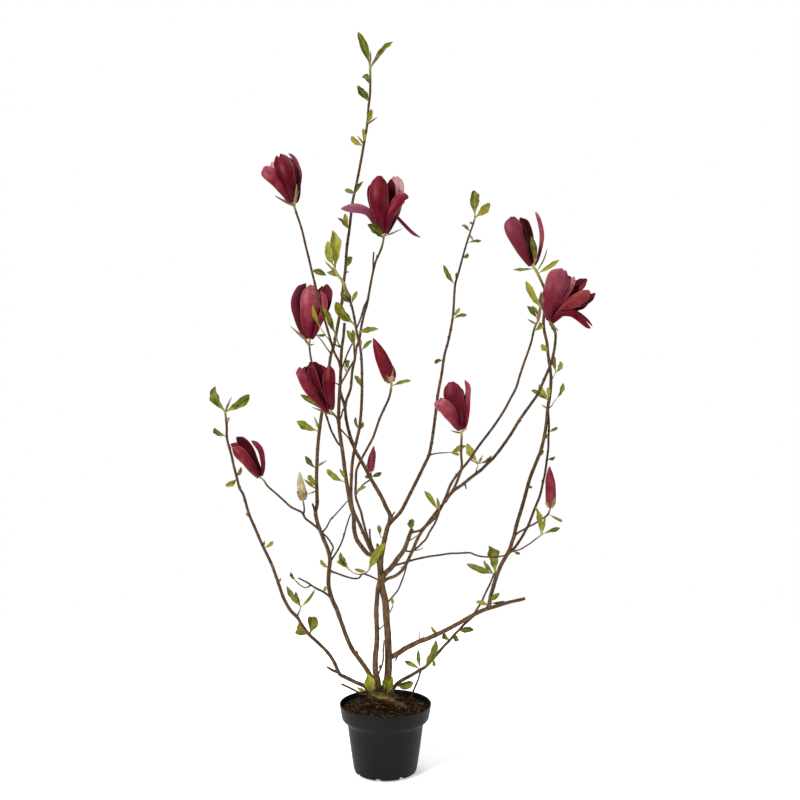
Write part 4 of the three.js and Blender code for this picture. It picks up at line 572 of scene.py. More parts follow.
# %% Spline
def spline(points, pieces=10):
    """Points of a centripetal spline through the given ones."""
    points = [Vector(p) for p in points]
    ends = [points[0] * 2 - points[1], *points, points[-1] * 2 - points[-2]]
    made = []
    for p0, p1, p2, p3 in zip(ends, ends[1:], ends[2:], ends[3:]):
        t1 = max(1e-6, (p1 - p0).length) ** 0.5
        t2 = t1 + max(1e-6, (p2 - p1).length) ** 0.5
        t3 = t2 + max(1e-6, (p3 - p2).length) ** 0.5
        for i in range(pieces):
            t = t1 + (t2 - t1) * i / pieces
            a1 = p0.lerp(p1, t / t1)
            a2 = p1.lerp(p2, (t - t1) / (t2 - t1))
            a3 = p2.lerp(p3, (t - t2) / (t3 - t2))
            b1 = a1.lerp(a2, t / t2)
            b2 = a2.lerp(a3, (t - t1) / (t3 - t1))
            made.append(b1.lerp(b2, (t - t1) / (t2 - t1)))
    return made + [points[-1]]


def between(at, marks, line):
    """The points of a line at some distances, from the distances of its own points."""
    return np.stack([np.interp(at, marks, line[:, k]) for k in range(3)], axis=-1)


def even(points, step):
    """The same line with its points evenly spaced, and how far along each one is."""
    line = np.array([tuple(p) for p in points])
    run = np.concatenate([[0], np.cumsum(np.linalg.norm(np.diff(line, axis=0), axis=1))])
    where = np.linspace(0, run[-1], max(4, int(round(run[-1] / step)) + 1))
    return between(where, run, line), where


print("points of a spline through three:", len(spline([(0, 0, 0), (1, 0, 0), (2, 1, 0)])))

# %% Route of every limb
RING_STEP = 3.2 * MM


def nearest(route, across, down):
    """The point of a limb that is drawn nearest to the given one."""
    line = route["seen"]
    a, b = line[:-1, :2], line[1:, :2]
    run = b - a
    t = ((np.array([across, down]) - a) * run).sum(1) / np.maximum((run ** 2).sum(1), 1e-9)
    t = np.clip(t, 0, 1)
    spots = a + run * t[:, None]
    best = int(np.argmin(np.hypot(spots[:, 0] - across, spots[:, 1] - down)))
    depth = line[best, 2] + (line[best + 1, 2] - line[best, 2]) * t[best]
    return float(spots[best, 0]), float(spots[best, 1]), float(depth)


ROUTES = {}
for limbs in LIMBS.values():
    for index, (name, parent, thick_root, thick_tip, points) in enumerate(limbs):
        start, root_depth, branches = points[0], None, parent in ROUTES
        if branches:
            *start, root_depth = nearest(ROUTES[parent], start[0], start[1])
        traced = fill_depths([start, *points[1:]], root_depth, index)
        line, travelled = even(spline([place(*p) for p in traced]), RING_STEP)
        radii = np.interp(travelled, [0, travelled[-1]], [thick_root / 2 * MM, thick_tip / 2 * MM])
        ROUTES[name] = {"line": line, "travelled": travelled, "radii": radii, "branches": branches,
                        "seen": np.array([seen(Vector(p)) for p in line])}
print("metres of wood:", round(float(sum(r["travelled"][-1] for r in ROUTES.values())), 2))

# %% [markdown]
# ## Limbs as curves
# A stem is a tube that tapers, and swells where it leaves its parent and at every old leaf scar. A
# curve object gives just that: its points hold the route and a radius each, and Blender wraps a
# round skin about it. The curve is then turned into a mesh, and every vertex is told how green and
# how thick its limb is there, for the bark to read.

# %% Knots along a limb
SCAR_GAP = (17 * MM, 34 * MM)
SCAR_HEIGHT, SCAR_WIDTH = 0.11, 2.2 * MM
THICKER = 1.1                      # the traced widths leave out half of each blurred edge
COLLAR_SWELL, COLLAR_LENGTH = 0.45, 7 * MM
FULL_GIRTH = 6 * MM                # radius of a limb that has old bark all over
LUMP_HEIGHT, LUMP_FINENESS = 0.035, 90
LAST_SCAR = 4 * MM                 # no scar comes nearer to the tip
SLIM_FROM, SLIM_LEAST = 1.4, 0.35  # slim limbs have the tallest scars


def chance(low=0, high=1):
    return float(RANDOM.uniform(low, high))


def scars(name):
    """Distances along a limb at which an old leaf has left its ring."""
    length = ROUTES[name]["travelled"][-1]
    spots, at = [], chance(*SCAR_GAP) + COLLAR_LENGTH
    while at < length - LAST_SCAR:
        spots.append(at)
        at += chance(*SCAR_GAP)
    return spots


def humps(away, spots, width):
    """One at each of the spots, falling to nought about a width away."""
    return sum((np.exp(-((away - s) / width) ** 2) for s in spots), np.zeros_like(away))


def limb_radii(name, spots):
    route = ROUTES[name]
    away = route["travelled"]
    swell = np.minimum(humps(away, spots, SCAR_WIDTH), 1)
    slim = np.clip(SLIM_FROM - route["radii"] / FULL_GIRTH, SLIM_LEAST, 1)
    lumps = np.array([noise.noise(Vector(p) * LUMP_FINENESS) for p in route["line"]])
    radii = THICKER * route["radii"] * (1 + SCAR_HEIGHT * slim * swell + LUMP_HEIGHT * lumps)
    if route["branches"]:
        radii = radii * (1 + COLLAR_SWELL * np.exp(-(away / COLLAR_LENGTH) ** 2))
    return radii


print("a sample limb has", len(scars("v_stem")), "leaf scars")

# %% A limb as a tube
THICK_BARK = 3.6 * MM
SCAR_MARK = 1.2 * MM
GREEN_FROM = 1.15                  # above one, so that the last stretch is green all over
FRESH_TIPS = {                     # limbs that end in green wood, and the length of it in mm
    "bloom1_stem": 18, "bloom2_stem": 26, "bloom3_stem": 22, "bloom4_stem": 22, "bloom5_stem": 16,
    "bloom6_stem": 22, "bloom7_stem": 22, "bloom9_stem": 12, "right_rise": 40, "bud11_stem": 14,
    "bud12_stem": 9, "bud10_stem": 12, "young": 75, "tall": 30, "link_two": 24, "leaf_stalk": 45,
    "inner_leafy": 30, "inner_leafy_front": 24, "w_leafy": 24, "v_twig": 14, "q_stem": 44,
    "left_twig": 8, "left": 16, "right_stalk": 22, "right_stalk_two": 16, "v_stem": 12,
    "right_slim": 14, "long_twig": 14, "u_sprig": 12, "twin_side": 10, "crown_shoot": 16,
}


def pick(*pieces):
    clear_selection()
    for piece in pieces:
        piece.select_set(True)
    bpy.context.view_layer.objects.active = pieces[0]


def tube(name, line, radii, sides):
    data = bpy.data.curves.new(name, "CURVE")
    data.dimensions = "3D"
    data.bevel_depth = 1.0
    data.bevel_resolution = sides // 4 - 1
    data.use_fill_caps = True
    run = data.splines.new("POLY")
    run.points.add(len(line) - 1)
    for point, spot, radius in zip(run.points, line, radii):
        point.co = (*spot, 1)
        point.radius = radius
    piece = bpy.data.objects.new(name, data)
    bpy.context.collection.objects.link(piece)
    pick(piece)
    bpy.ops.object.convert(target="MESH")
    return bpy.context.object


def tell(piece, **values):
    """Writes numbers under each name, one for all vertices or one each, for the materials."""
    for key, numbers in values.items():
        held = piece.data.attributes.new(key, "FLOAT", "POINT")
        held.data.foreach_set("value", np.full(len(piece.data.vertices), numbers, np.float32))


def limb_piece(name):
    route = ROUTES[name]
    route["scars"] = spots = scars(name)
    radii = limb_radii(name, spots)
    piece = tube(name, route["line"], radii, 16 if route["radii"][0] > THICK_BARK else 8)
    tree = kdtree.KDTree(len(route["line"]))
    for i, spot in enumerate(route["line"]):
        tree.insert(Vector(spot), i)
    tree.balance()
    ring = np.array([tree.find(v.co)[1] for v in piece.data.vertices])
    away = route["travelled"][ring]
    fresh = FRESH_TIPS.get(name, 0) * MM
    green = np.clip(GREEN_FROM - (route["travelled"][-1] - away) / fresh, 0, 1) if fresh else 0
    tell(piece, green=green, girth=radii[ring] / FULL_GIRTH,
         scar=np.minimum(humps(away, spots, SCAR_MARK), 1))
    return piece


print("limbs with green tips:", len(FRESH_TIPS))

# %% [markdown]
# ## Small buds on the wood
# Beside every leaf scar sits a pointed resting bud. One is drawn up from a small circle that
# swells and then narrows to a point. Every other one is a copy with its own mesh, turned to its
# place and leant forwards, as buds lean along their stem.

# %% One resting bud
BUD_FOOT = 0.8 * MM
BUD_STEPS = ((1.2 * MM, 1.45), (1.4 * MM, 0.92), (1.2 * MM, 0.55), (0.6 * MM, 0.12))


def edit():
    """Opens the picked piece in edit mode with all of it selected."""
    bpy.ops.object.mode_set(mode="EDIT")
    bpy.ops.mesh.select_all(action="SELECT")


def close_edit():
    """Turns every face outwards and leaves edit mode."""
    bpy.ops.mesh.select_all(action="SELECT")
    bpy.ops.mesh.normals_make_consistent(inside=False)
    bpy.ops.object.mode_set(mode="OBJECT")


def grow_ring(rise, width, height):
    """Extrudes the picked ring upwards by rise and sizes it by width about the axis."""
    bpy.ops.mesh.extrude_region_move(TRANSFORM_OT_translate={"value": (0, 0, rise)})
    bpy.ops.transform.resize(value=(width, width, 1), center_override=(0, 0, height))


resting_bud = added("resting_bud", bpy.ops.mesh.primitive_circle_add, vertices=7, radius=BUD_FOOT,
                    fill_type="NGON")
edit()
height = 0.0
for rise, width in BUD_STEPS:
    height += rise
    grow_ring(rise, width, height)
close_edit()
print("resting bud:", len(resting_bud.data.polygons), "faces,", round(height / MM, 1), "mm tall")

# %% Buds beside the scars
BARE_SCARS = 0.6                   # share of the scars whose bud has dropped
BUDDED_MOST = 4.4 * MM             # a limb of a greater radius has no buds
BUD_TURN = math.radians(144)
BUD_LEAN, BUD_SEAT = 0.75, 0.7     # sideways against forwards, and how far out in limb radii


def along(name, distance):
    """The place, the direction and the radius of a limb at a distance from its root."""
    route = ROUTES[name]
    spot, ahead, behind = (Vector(between(distance + step, route["travelled"], route["line"]))
                           for step in (0, 4 * MM, -4 * MM))
    radius = float(np.interp(distance, route["travelled"], route["radii"]))
    return spot, (ahead - behind).normalized(), radius


def copy_of(master, name):
    piece = master.copy()
    piece.data = master.data.copy()
    piece.name = name
    bpy.context.collection.objects.link(piece)
    return piece


def upright_to(direction):
    """The turn that brings the upward axis into a direction."""
    return direction.to_track_quat("Z", "X").to_matrix().to_4x4()


def buds_on(name):
    made, route = [], ROUTES[name]
    for count, distance in enumerate(route["scars"] if route["radii"][0] <= BUDDED_MOST else []):
        if chance() < BARE_SCARS:
            continue
        spot, ahead, radius = along(name, distance)
        side = ahead.orthogonal().normalized()
        side.rotate(Matrix.Rotation(count * BUD_TURN, 3, ahead))
        turn = upright_to((side * BUD_LEAN + ahead).normalized())
        bud = copy_of(resting_bud, "bud_on_" + name)
        size = Matrix.Scale(chance(0.6, 1.15), 4)
        bud.data.transform(Matrix.Translation(spot + side * radius * BUD_SEAT) @ turn @ size)
        left_over = route["travelled"][-1] - distance
        tell(bud, green=left_over < FRESH_TIPS.get(name, 0) * MM, girth=0.3, scar=0.6)
        made.append(bud)
    return made


print("limbs thin enough for buds:", sum(r["radii"][0] <= BUDDED_MOST for r in ROUTES.values()))

# %% [markdown]
# ## Bark
# Old magnolia wood is smooth and grey-brown with paler corky specks; young wood is darker and
# redder, and the last centimetres under a flower are pale yellow-green. The pattern is made of
# noise on Object coordinates, stretched up the plant, and mixed by the numbers on the vertices.

# %% Bark material
def ramp(factor, *stops):
    """Colours along a factor; a plain number stands for a grey."""
    made = factor.id_data.nodes.new("ShaderNodeValToRGB")
    feed(factor.id_data, made, {"Fac": factor})
    while len(made.color_ramp.elements) < len(stops):
        made.color_ramp.elements.new(0.5)
    for element, (position, colour) in zip(made.color_ramp.elements, stops):
        element.position = position
        element.color = (*colour, 1) if isinstance(colour, tuple) else (colour, colour, colour, 1)
    return made.outputs["Color"]


def sums(operation):
    """A function that works out numbers in the node tree of its first one."""
    return lambda first, second=0.0: node(first.id_data, "Math", {0: first, 1: second},
                                          operation=operation)


plus, minus, times, unsigned, fraction = map(sums, ("ADD", "SUBTRACT", "MULTIPLY", "ABSOLUTE", "FRACT"))


def told(tree, key):
    """The number that tell wrote on the vertices."""
    return node(tree, "Attribute", {}, output="Fac", attribute_name=key)


def grains(spots, scale, detail, **more):
    return node(spots.id_data, "TexNoise", {"Vector": spots, "Scale": scale, "Detail": detail, **more})


def bump(height, strength, depth_mm):
    return node(height.id_data, "Bump",
                {"Height": height, "Strength": strength, "Distance": depth_mm * MM})


bark, tree, surface = shader("bark")
upright = node(tree, "Mapping", {"Vector": room(tree), "Scale": (1, 1, 0.28)})
grain = grains(upright, 260, 6, Roughness=0.6)
patches = grains(upright, 75, 4)
specks = node(tree, "TexVoronoi", {"Vector": room(tree), "Scale": 520}, output="Distance")
young_wood = ramp(grain, (0.28, (0.036, 0.015, 0.007)), (0.5, (0.088, 0.043, 0.019)),
                  (0.74, (0.2, 0.114, 0.05)))
old_wood = ramp(grain, (0.28, (0.056, 0.027, 0.011)), (0.5, (0.135, 0.076, 0.033)),
                (0.74, (0.25, 0.158, 0.08)))
fresh_wood = ramp(grain, (0.3, (0.25, 0.26, 0.05)), (0.6, (0.47, 0.46, 0.13)),
                  (0.8, (0.58, 0.52, 0.22)))
wood = mix(ramp(told(tree, "girth"), (0.35, 0), (0.85, 1)), young_wood, old_wood)
wood = mix(ramp(patches, (0.42, 0), (0.62, 0.4)), wood, (0.04, 0.019, 0.009))
wood = mix(ramp(specks, (0.09, 0.25), (0.17, 0)), wood, (0.25, 0.17, 0.1))
# darker where a vertex is told scar: the leaf scars' own colour, and painted shade in the root crown's
# hollows
wood = mix(times(told(tree, "scar"), 0.55), wood, (0.06, 0.03, 0.014))
rough_bark = plus(grain, times(specks, 0.6))
feed(tree, surface, {"Base Color": mix(told(tree, "green"), wood, fresh_wood),
                     "Roughness": 0.62, "Specular IOR Level": 0.12,
                     "Normal": bump(rough_bark, 0.4, 0.6)})
print("bark nodes:", len(tree.nodes))

# %% Wood of every stem node
STEM_WORDS = {"stem_left": "left", "stem_inner_left": "inner", "trunk": "trunk", "stem_right": "right"}
MERGE_NEAR = 0.02 * MM


def smoothed(piece, sharpest=None):
    """Smooth shading all over, or only where faces meet at less than so many degrees."""
    pick(piece)
    if sharpest is None:
        bpy.ops.object.shade_smooth()
    else:
        bpy.ops.object.shade_smooth_by_angle(angle=math.radians(sharpest))


def painted(piece, paints):
    piece.data.materials.clear()
    for paint in paints:
        piece.data.materials.append(paint)


def joined(name, pieces, paints, node_name):
    """Joins pieces into one that rides on the part, and hides its CAD node."""
    pick(*pieces)
    bpy.ops.object.join()
    piece = bpy.context.object
    piece.name = name
    piece.data.name = name
    if paints:
        painted(piece, paints)
    clear_selection()
    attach(piece, "root")
    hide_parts(node_name)
    return piece


for node_name, word in STEM_WORDS.items():
    names = [name for name, *rest in LIMBS[node_name]]
    limbs = [limb_piece(name) for name in names]
    resting = [bud for name in names for bud in buds_on(name)]
    wood_piece = joined(word + "_wood", limbs + resting, [bark], node_name)
    smoothed(wood_piece)
    edit()
    bpy.ops.mesh.remove_doubles(threshold=MERGE_NEAR)
    close_edit()
    print(wood_piece.name, len(wood_piece.data.polygons), "faces")
bpy.data.objects.remove(resting_bud)

# %% [markdown]
# ## Root crown
# Where the stems meet the compost they swell into one knobbly crown. Balls of different sizes
# flow into each other as metaballs, which is quicker than cutting and bridging five stems, and the
# result is turned into a mesh with the same bark.

# %% Crown
CROWN_BALLS = [                    # across, down, depth and radius in mm
    (371, 693, -14, 9), (375.5, 694, -17, 11), (380, 696.5, -17, 12), (384.5, 697.5, -19, 12),
    (388.5, 700.5, -18, 13), (393, 701.5, -21, 10), (396.5, 704.5, -20, 11), (401, 705.5, -22, 8),
    (404.5, 707.5, -20, 8), (408, 709.5, -22, 5), (376, 698, -13, 9), (382, 701.5, -13, 10),
    (387, 704.5, -13, 10), (392, 706.5, -14, 9), (386, 692, 0, 17), (389, 689, 3, 14),
    (382, 690, -5, 12), (378, 688, -8, 10), (393, 697, 0, 12), (379, 693, 9, 13),
]
CROWN_KNOBS = [(2.6, 140), (2.2, 330), (1.1, 800)]    # height in mm, and how fine
crown = added("crown_balls", bpy.ops.object.metaball_add, type="BALL", radius=CROWN_BALLS[0][3] * MM)
crown.data.resolution = 1.2 * MM
crown.data.threshold = 0.25
crown.data.elements[0].co = place(*CROWN_BALLS[0][:3])
for *spot, radius in CROWN_BALLS[1:]:
    ball = crown.data.elements.new()
    ball.co = place(*spot)
    ball.radius = radius * MM
pick(crown)
bpy.ops.object.convert(target="MESH")
crown = bpy.context.object
for vertex in crown.data.vertices:
    knobs = sum(high * noise.noise(vertex.co * fine) for high, fine in CROWN_KNOBS)
    vertex.co += vertex.normal * (knobs * MM)
# the hollows between the knobs get the bark's scar darkening: painted shade in the recesses
hollow_shade = [noise.noise(vertex.co * CROWN_KNOBS[1][1]) for vertex in crown.data.vertices]
tell(crown, green=0, girth=1, scar=np.clip(-3 * np.array(hollow_shade), 0, 1.2))
smoothed(crown)
crown = joined("root_crown", [crown], [bark], "trunk")
print("root crown:", len(crown.data.polygons), "faces")

# %% [markdown]
# ## Nursery pot
# The pot is a thin moulded shell. A circle is drawn up ring by ring, as on a wheel: foot disc,
# tapering body, the step under the tall collar, the rolled rim, and down the inside to the floor.
# Rings set close together round the edges, so that they catch the light. The drain notches are
# then cut out of the foot, all with one joined cutter.

# %% Pot body
POT_SIDES = 128
POT_FOOT = 49.3
POT_PROFILE = [                    # radius and height in mm, outside upwards, then down the inside
    (50, 0.6), (50, 3.0), (63.4, 3.0), (64.6, 3.9), (65.8, 8.5), (67.5, 18), (70.6, 38),
    (73.7, 60), (76.7, 82), (78.9, 99), (80.2, 103), (83.2, 106), (87.6, 109), (90.2, 112.2),
    (91.2, 116), (92.6, 124), (94.2, 133), (95.0, 138.4), (95.5, 140.4), (95.0, 141.6),
    (94.2, 142), (93.2, 141.4), (92.7, 139), (91.0, 127), (88.8, 115), (87.4, 112), (77.4, 104),
    (76.6, 99), (71.6, 60), (65.3, 19), (62.0, 6.0), (60.0, 5.5),
]


def thrown(foot_radius, foot_height, profile):
    """Draws the picked ring up through a profile in mm, as on a potter's wheel."""
    radius, height = foot_radius * MM, foot_height * MM
    for next_radius, next_height in profile:
        grow_ring(next_height * MM - height, next_radius * MM / radius, next_height * MM)
        radius, height = next_radius * MM, next_height * MM
    return radius


pot = added("nursery_pot", bpy.ops.mesh.primitive_circle_add, vertices=POT_SIDES, radius=POT_FOOT * MM,
            fill_type="NOTHING")
edit()
thrown(POT_FOOT, 0, POT_PROFILE)
bpy.ops.mesh.edge_face_add()
bpy.ops.mesh.select_all(action="DESELECT")
bpy.ops.mesh.select_non_manifold()
bpy.ops.mesh.edge_face_add()
close_edit()
print("pot shell:", len(pot.data.polygons), "faces")

# %% Drain notches
DRAINS, FIRST_DRAIN = 8, -103
NOTCH_PLACE, NOTCH_SIZE = (62 * MM, 0, 3.6 * MM), (21 * MM, 11 * MM, 10.8 * MM)
NOTCH_ROUND = 1.2 * MM


def settled(piece):
    """Moves the place and size of a new object into its mesh."""
    pick(piece)
    bpy.ops.object.transform_apply(location=True, rotation=True, scale=True)
    return piece


cutter = settled(added("cutter", bpy.ops.mesh.primitive_cube_add, size=1, location=NOTCH_PLACE,
                       scale=NOTCH_SIZE))
edit()
bpy.ops.mesh.bevel(offset=NOTCH_ROUND, segments=3)
bpy.ops.object.mode_set(mode="OBJECT")
notches = [copy_of(cutter, "notch") for step in range(DRAINS)]
for step, notch in enumerate(notches):
    notch.data.transform(Matrix.Rotation(math.radians(FIRST_DRAIN + step * 360 / DRAINS), 4, "Z"))
bpy.data.objects.remove(cutter)
pick(*notches)
bpy.ops.object.join()
notches = bpy.context.object
pick(pot)
cut = pot.modifiers.new("drains", "BOOLEAN")
cut.operation = "DIFFERENCE"
cut.object = notches
bpy.ops.object.modifier_apply(modifier=cut.name)
bpy.data.objects.remove(notches)
smoothed(pot, 32)
print("pot with drains:", len(pot.data.polygons), "faces")

# %% [markdown]
# The plastic is charcoal with a satin skin. Real pots are a little cloudy, with faint scuffs, so
# colour and roughness drift with two sizes of noise.

# %% Pot plastic
plastic, tree, surface = shader("charcoal_plastic")
cloud = grains(room(tree), 16, 5)
pores = grains(room(tree), 900, 2)
scuff_map = node(tree, "Mapping", {"Vector": room(tree), "Scale": (1, 1, 9)})
scuffs = grains(scuff_map, 60, 8, Roughness=0.7)
shade = ramp(cloud, (0.3, (0.0048, 0.0048, 0.0048)), (0.7, (0.0082, 0.0082, 0.008)))
feed(tree, surface, {
    "Base Color": mix(ramp(scuffs, (0.62, 0), (0.78, 0.35)), shade, (0.02, 0.0196, 0.019)),
    "Roughness": ramp(scuffs, (0.3, 0.42), (0.7, 0.58)), "Specular IOR Level": 0.13,
    "Normal": bump(pores, 0.12, 0.2)})
painted(pot, [plastic])
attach(pot, "root")
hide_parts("pot")
print("plastic nodes:", len(tree.nodes))

# %% [markdown]
# ## Compost
# The bed is drawn up like the pot, then its top is inset again and again into rings, heaped and
# roughened by noise. On it lie crumbs, bark chips, pale grit and root threads. Each kind is
# modelled once with few faces and laid down many times.

# %% Compost bed
SOIL_FOOT, SOIL_FLOOR = 60, 6.2
SOIL_PROFILE = [(63.0, 50), (69.2, 50), (73.8, 98), (74.6, 104), (85.6, 113.5), (89.6, 127), (90.4, 131.5)]
SOIL_RINGS = 24
soil = settled(added("compost_bed", bpy.ops.mesh.primitive_circle_add, vertices=POT_SIDES,
                     radius=SOIL_FOOT * MM, location=(0, 0, SOIL_FLOOR * MM), fill_type="NGON"))
edit()
top_radius = thrown(SOIL_FOOT, SOIL_FLOOR, SOIL_PROFILE)
for step in range(SOIL_RINGS):
    bpy.ops.mesh.inset(thickness=top_radius / (SOIL_RINGS + 0.5))
bpy.ops.mesh.poke()
close_edit()
print("compost bed:", len(soil.data.polygons), "faces")

# %% Heaps and lumps
SOIL_EDGE, SOIL_MOUND, SOIL_RADIUS = 132 * MM, 140 * MM, 90.6 * MM
SOIL_TOP = 131 * MM                # what lies higher is the top of the bed
SOIL_LUMPS = [(2.6, 0, 95), (1.5, 1, 260)]            # height in mm, layer of the noise, how fine
CALMER_EDGE = 0.55                 # share by which the lumps are lower at the edge
# compost heaped against the crown: across, down and depth, then height and reach in mm
HEAPS = [(369, 704, -22, 9, 13), (380, 708, -30, 5, 14), (392, 711, -30, 4, 14), (404, 712, -24, 3, 12)]


def soil_height(x, y):
    share = min(1.0, math.hypot(x, y) / SOIL_RADIUS)
    mound = SOIL_EDGE + (SOIL_MOUND - SOIL_EDGE) * math.cos(share * math.pi / 2) ** 2
    lumps = sum(tall * MM * noise.noise(Vector((x, y, layer)) * fine) for tall, layer, fine in SOIL_LUMPS)
    heaped = 0.0
    for *spot, tall, wide in HEAPS:
        top = place(*spot)
        heaped += tall * MM * math.exp(-((x - top.x) ** 2 + (y - top.y) ** 2) / (wide * MM) ** 2)
    return mound + heaped + lumps * (1 - CALMER_EDGE * share)


for vertex in soil.data.vertices:
    if vertex.co.z > SOIL_TOP:
        vertex.co.z = soil_height(vertex.co.x, vertex.co.y)
smoothed(soil)
print("height of the mound in mm:", round(soil_height(0, 0) / MM, 1))


# %% Crumbs, chips, grit and root threads
def scattered(master, name, matrices):
    """One mesh made of a copy of the master at every matrix."""
    count = len(master.data.vertices)
    corners = np.array([[*v.co, 1] for v in master.data.vertices])
    spots = np.concatenate([(corners @ np.array(m).T)[:, :3] for m in matrices])
    faces = [tuple(i + k * count for i in face.vertices)
             for k in range(len(matrices)) for face in master.data.polygons]
    mesh = bpy.data.meshes.new(name)
    mesh.from_pydata(spots.tolist(), [], faces)
    piece = bpy.data.objects.new(name, mesh)
    bpy.context.collection.objects.link(piece)
    return piece


def crumb(add, **size):
    """A small primitive, knocked out of shape."""
    made = added("crumb", add, **size)
    edit()
    bpy.ops.transform.vertex_random(offset=0.16, seed=5)
    bpy.ops.object.mode_set(mode="OBJECT")
    return made


def strewn(count, size_range, flatness, reach, lift):
    """Places all over the bed; the reach is a share of its radius and the lift one of the size."""
    matrices = []
    for step in range(count):
        away = reach * SOIL_RADIUS * math.sqrt(chance())
        angle = chance(0, 2 * math.pi)
        x, y = away * math.cos(angle), away * math.sin(angle)
        size = chance(*size_range) * MM
        spot = Vector((x, y, soil_height(x, y) + lift * size))
        turn = Matrix.Rotation(chance(0, 2 * math.pi), 4, "Z")
        tip = Matrix.Rotation(chance(-0.6, 0.6), 4, "X")
        shape = Matrix.Diagonal((size, size * chance(0.6, 1), size * flatness, 1))
        matrices.append(Matrix.Translation(spot) @ turn @ tip @ shape)
    return matrices


lump = crumb(bpy.ops.mesh.primitive_ico_sphere_add, subdivisions=1, radius=1)
stick = crumb(bpy.ops.mesh.primitive_cylinder_add, vertices=5, radius=0.12, depth=2)
LAY_FLAT, THIN = Matrix.Rotation(math.pi / 2, 4, "Y"), Matrix.Diagonal((0.7, 0.7, 1, 1))
STREWN = {                         # piece: master, number, sizes in mm, flatness, reach, lift, look
    "compost_crumbs": (lump, 2600, (0.8, 2.9), 0.75, 0.95, 0.2, "compost"),
    "bark_chips": (lump, 420, (1.4, 4.6), 0.32, 0.93, 0.35, "chips"),
    "pale_grit": (lump, 90, (0.5, 1.3), 0.8, 0.85, 0.9, "grit"),
    "root_threads": (stick, 240, (2.5, 9.5), 1.0, 0.88, 0.12, "threads"),
}
COMPOST_LOOKS = {                  # dark, middle and pale colour, and roughness
    "compost": ((0.003, 0.0015, 0.0007), (0.014, 0.007, 0.003), (0.055, 0.028, 0.011), 0.95),
    "chips": ((0.012, 0.005, 0.002), (0.045, 0.019, 0.007), (0.14, 0.068, 0.026), 0.8),
    "grit": ((0.3, 0.25, 0.16), (0.5, 0.45, 0.32), (0.7, 0.66, 0.52), 0.7),
    "threads": ((0.06, 0.032, 0.012), (0.17, 0.1, 0.04), (0.36, 0.24, 0.1), 0.75),
}
compost_paints = {}
for look, (dark, middle, pale, roughness) in COMPOST_LOOKS.items():
    compost_paints[look], tree, surface = shader(look)
    blotch = grains(room(tree), 240, 8, Roughness=0.7)
    feed(tree, surface, {"Base Color": ramp(blotch, (0.3, dark), (0.52, middle), (0.75, pale)),
                         "Roughness": roughness, "Specular IOR Level": 0.08,
                         "Normal": bump(blotch, 0.9, 0.8)})
painted(soil, [compost_paints["compost"]])
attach(soil, "root")
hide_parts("soil")
for name, (master, *rest, look) in STREWN.items():
    matrices = strewn(*rest)
    if master == stick:
        matrices = [m @ LAY_FLAT @ THIN for m in matrices]
    piece = joined(name, [scattered(master, name, matrices)], [compost_paints[look]], "soil")
    print(name, len(piece.data.polygons), "faces")
for master in (lump, stick):
    bpy.data.objects.remove(master)

# %% [markdown]
# ## Young leaves
# A leaf could be a flat picture on a card, but magnolia leaves are folded along the rib and wave at
# the edge, and that is what the light shows. So one leaf is modelled from a grid: each row is sized
# to the outline, each column lifted to make the fold. Every leaf of the plant is that leaf, laid
# along its own traced line.

# %% The master leaf
LEAF_GRID, BRACT_GRID = (10, 20), (4, 8)
LEAF_OUTLINE = [(0, 0.22), (0.12, 0.18), (0.2, 0.3), (0.3, 0.58), (0.42, 0.85), (0.56, 0.99), (0.68, 0.98),
                (0.79, 0.85), (0.89, 0.57), (0.96, 0.27), (1, 0.04)]
SLIM_OUTLINE = [(0, 0.5), (0.15, 0.7), (0.35, 1), (0.6, 0.86), (0.85, 0.45), (1, 0.06)]
LEAF_FOLD, BRACT_CUP = 0.42, 0.6


def each_line(piece, axis, change):
    """Picks one line of the grid after the other, by its place on an axis, and changes it."""
    for at in sorted({round(v.co[axis], 4) for v in piece.data.vertices}):
        flags = [abs(v.co[axis] - at) < 1e-3 for v in piece.data.vertices]
        bpy.ops.object.mode_set(mode="EDIT")
        bpy.ops.mesh.select_all(action="DESELECT")
        bpy.ops.object.mode_set(mode="OBJECT")
        piece.data.vertices.foreach_set("select", flags)
        bpy.ops.object.mode_set(mode="EDIT")
        change(at)
        bpy.ops.object.mode_set(mode="OBJECT")


def blade(name, grid, outline, fold):
    """A blade one long and at most two wide, with its outer face up, made from a grid."""
    made = added(name, bpy.ops.mesh.primitive_grid_add, x_subdivisions=grid[0], y_subdivisions=grid[1],
                 size=2, calc_uvs=True)
    bpy.ops.object.mode_set(mode="EDIT")
    bpy.ops.mesh.select_mode(type="VERT")
    bpy.ops.mesh.select_all(action="SELECT")
    bpy.ops.transform.translate(value=(0, 1, 0))
    bpy.ops.transform.resize(value=(1, 0.5, 1), center_override=(0, 0, 0))
    bpy.ops.object.mode_set(mode="OBJECT")

    def narrow(tall):
        share = float(np.interp(tall, *zip(*outline)))
        bpy.ops.transform.resize(value=(share, 1, share), center_override=(0, tall, 0))

    each_line(made, 0, lambda across: bpy.ops.transform.translate(value=(0, 0, fold(across))))
    each_line(made, 1, narrow)
    return made


leaf_master = blade("leaf", LEAF_GRID, LEAF_OUTLINE, lambda x: LEAF_FOLD * abs(x) ** 1.3)
bract_master = blade("bract", BRACT_GRID, SLIM_OUTLINE, lambda x: -BRACT_CUP * x * x)
print("leaf:", len(leaf_master.data.polygons), "faces; bract:", len(bract_master.data.polygons))

# %% Laying a blade along its rib
RIB_STEP = 1.5 * MM


def unit(rows):
    return rows / np.maximum(np.linalg.norm(rows, axis=-1, keepdims=True), 1e-12)


def frames(tangents, face_angles):
    """Face and breadth of a blade along its rib, from the way that its outer face looks."""
    viewer = np.array([0.0, -1.0, 0.0])
    front = unit(viewer - tangents * (tangents @ viewer)[:, None])
    right = -np.cross(tangents, front)
    angles = np.radians(face_angles)[:, None]
    face = front * np.cos(angles) + right * np.sin(angles)
    return face, np.cross(tangents, face)


def own_points(master):
    return np.array([tuple(v.co) for v in master.data.vertices])


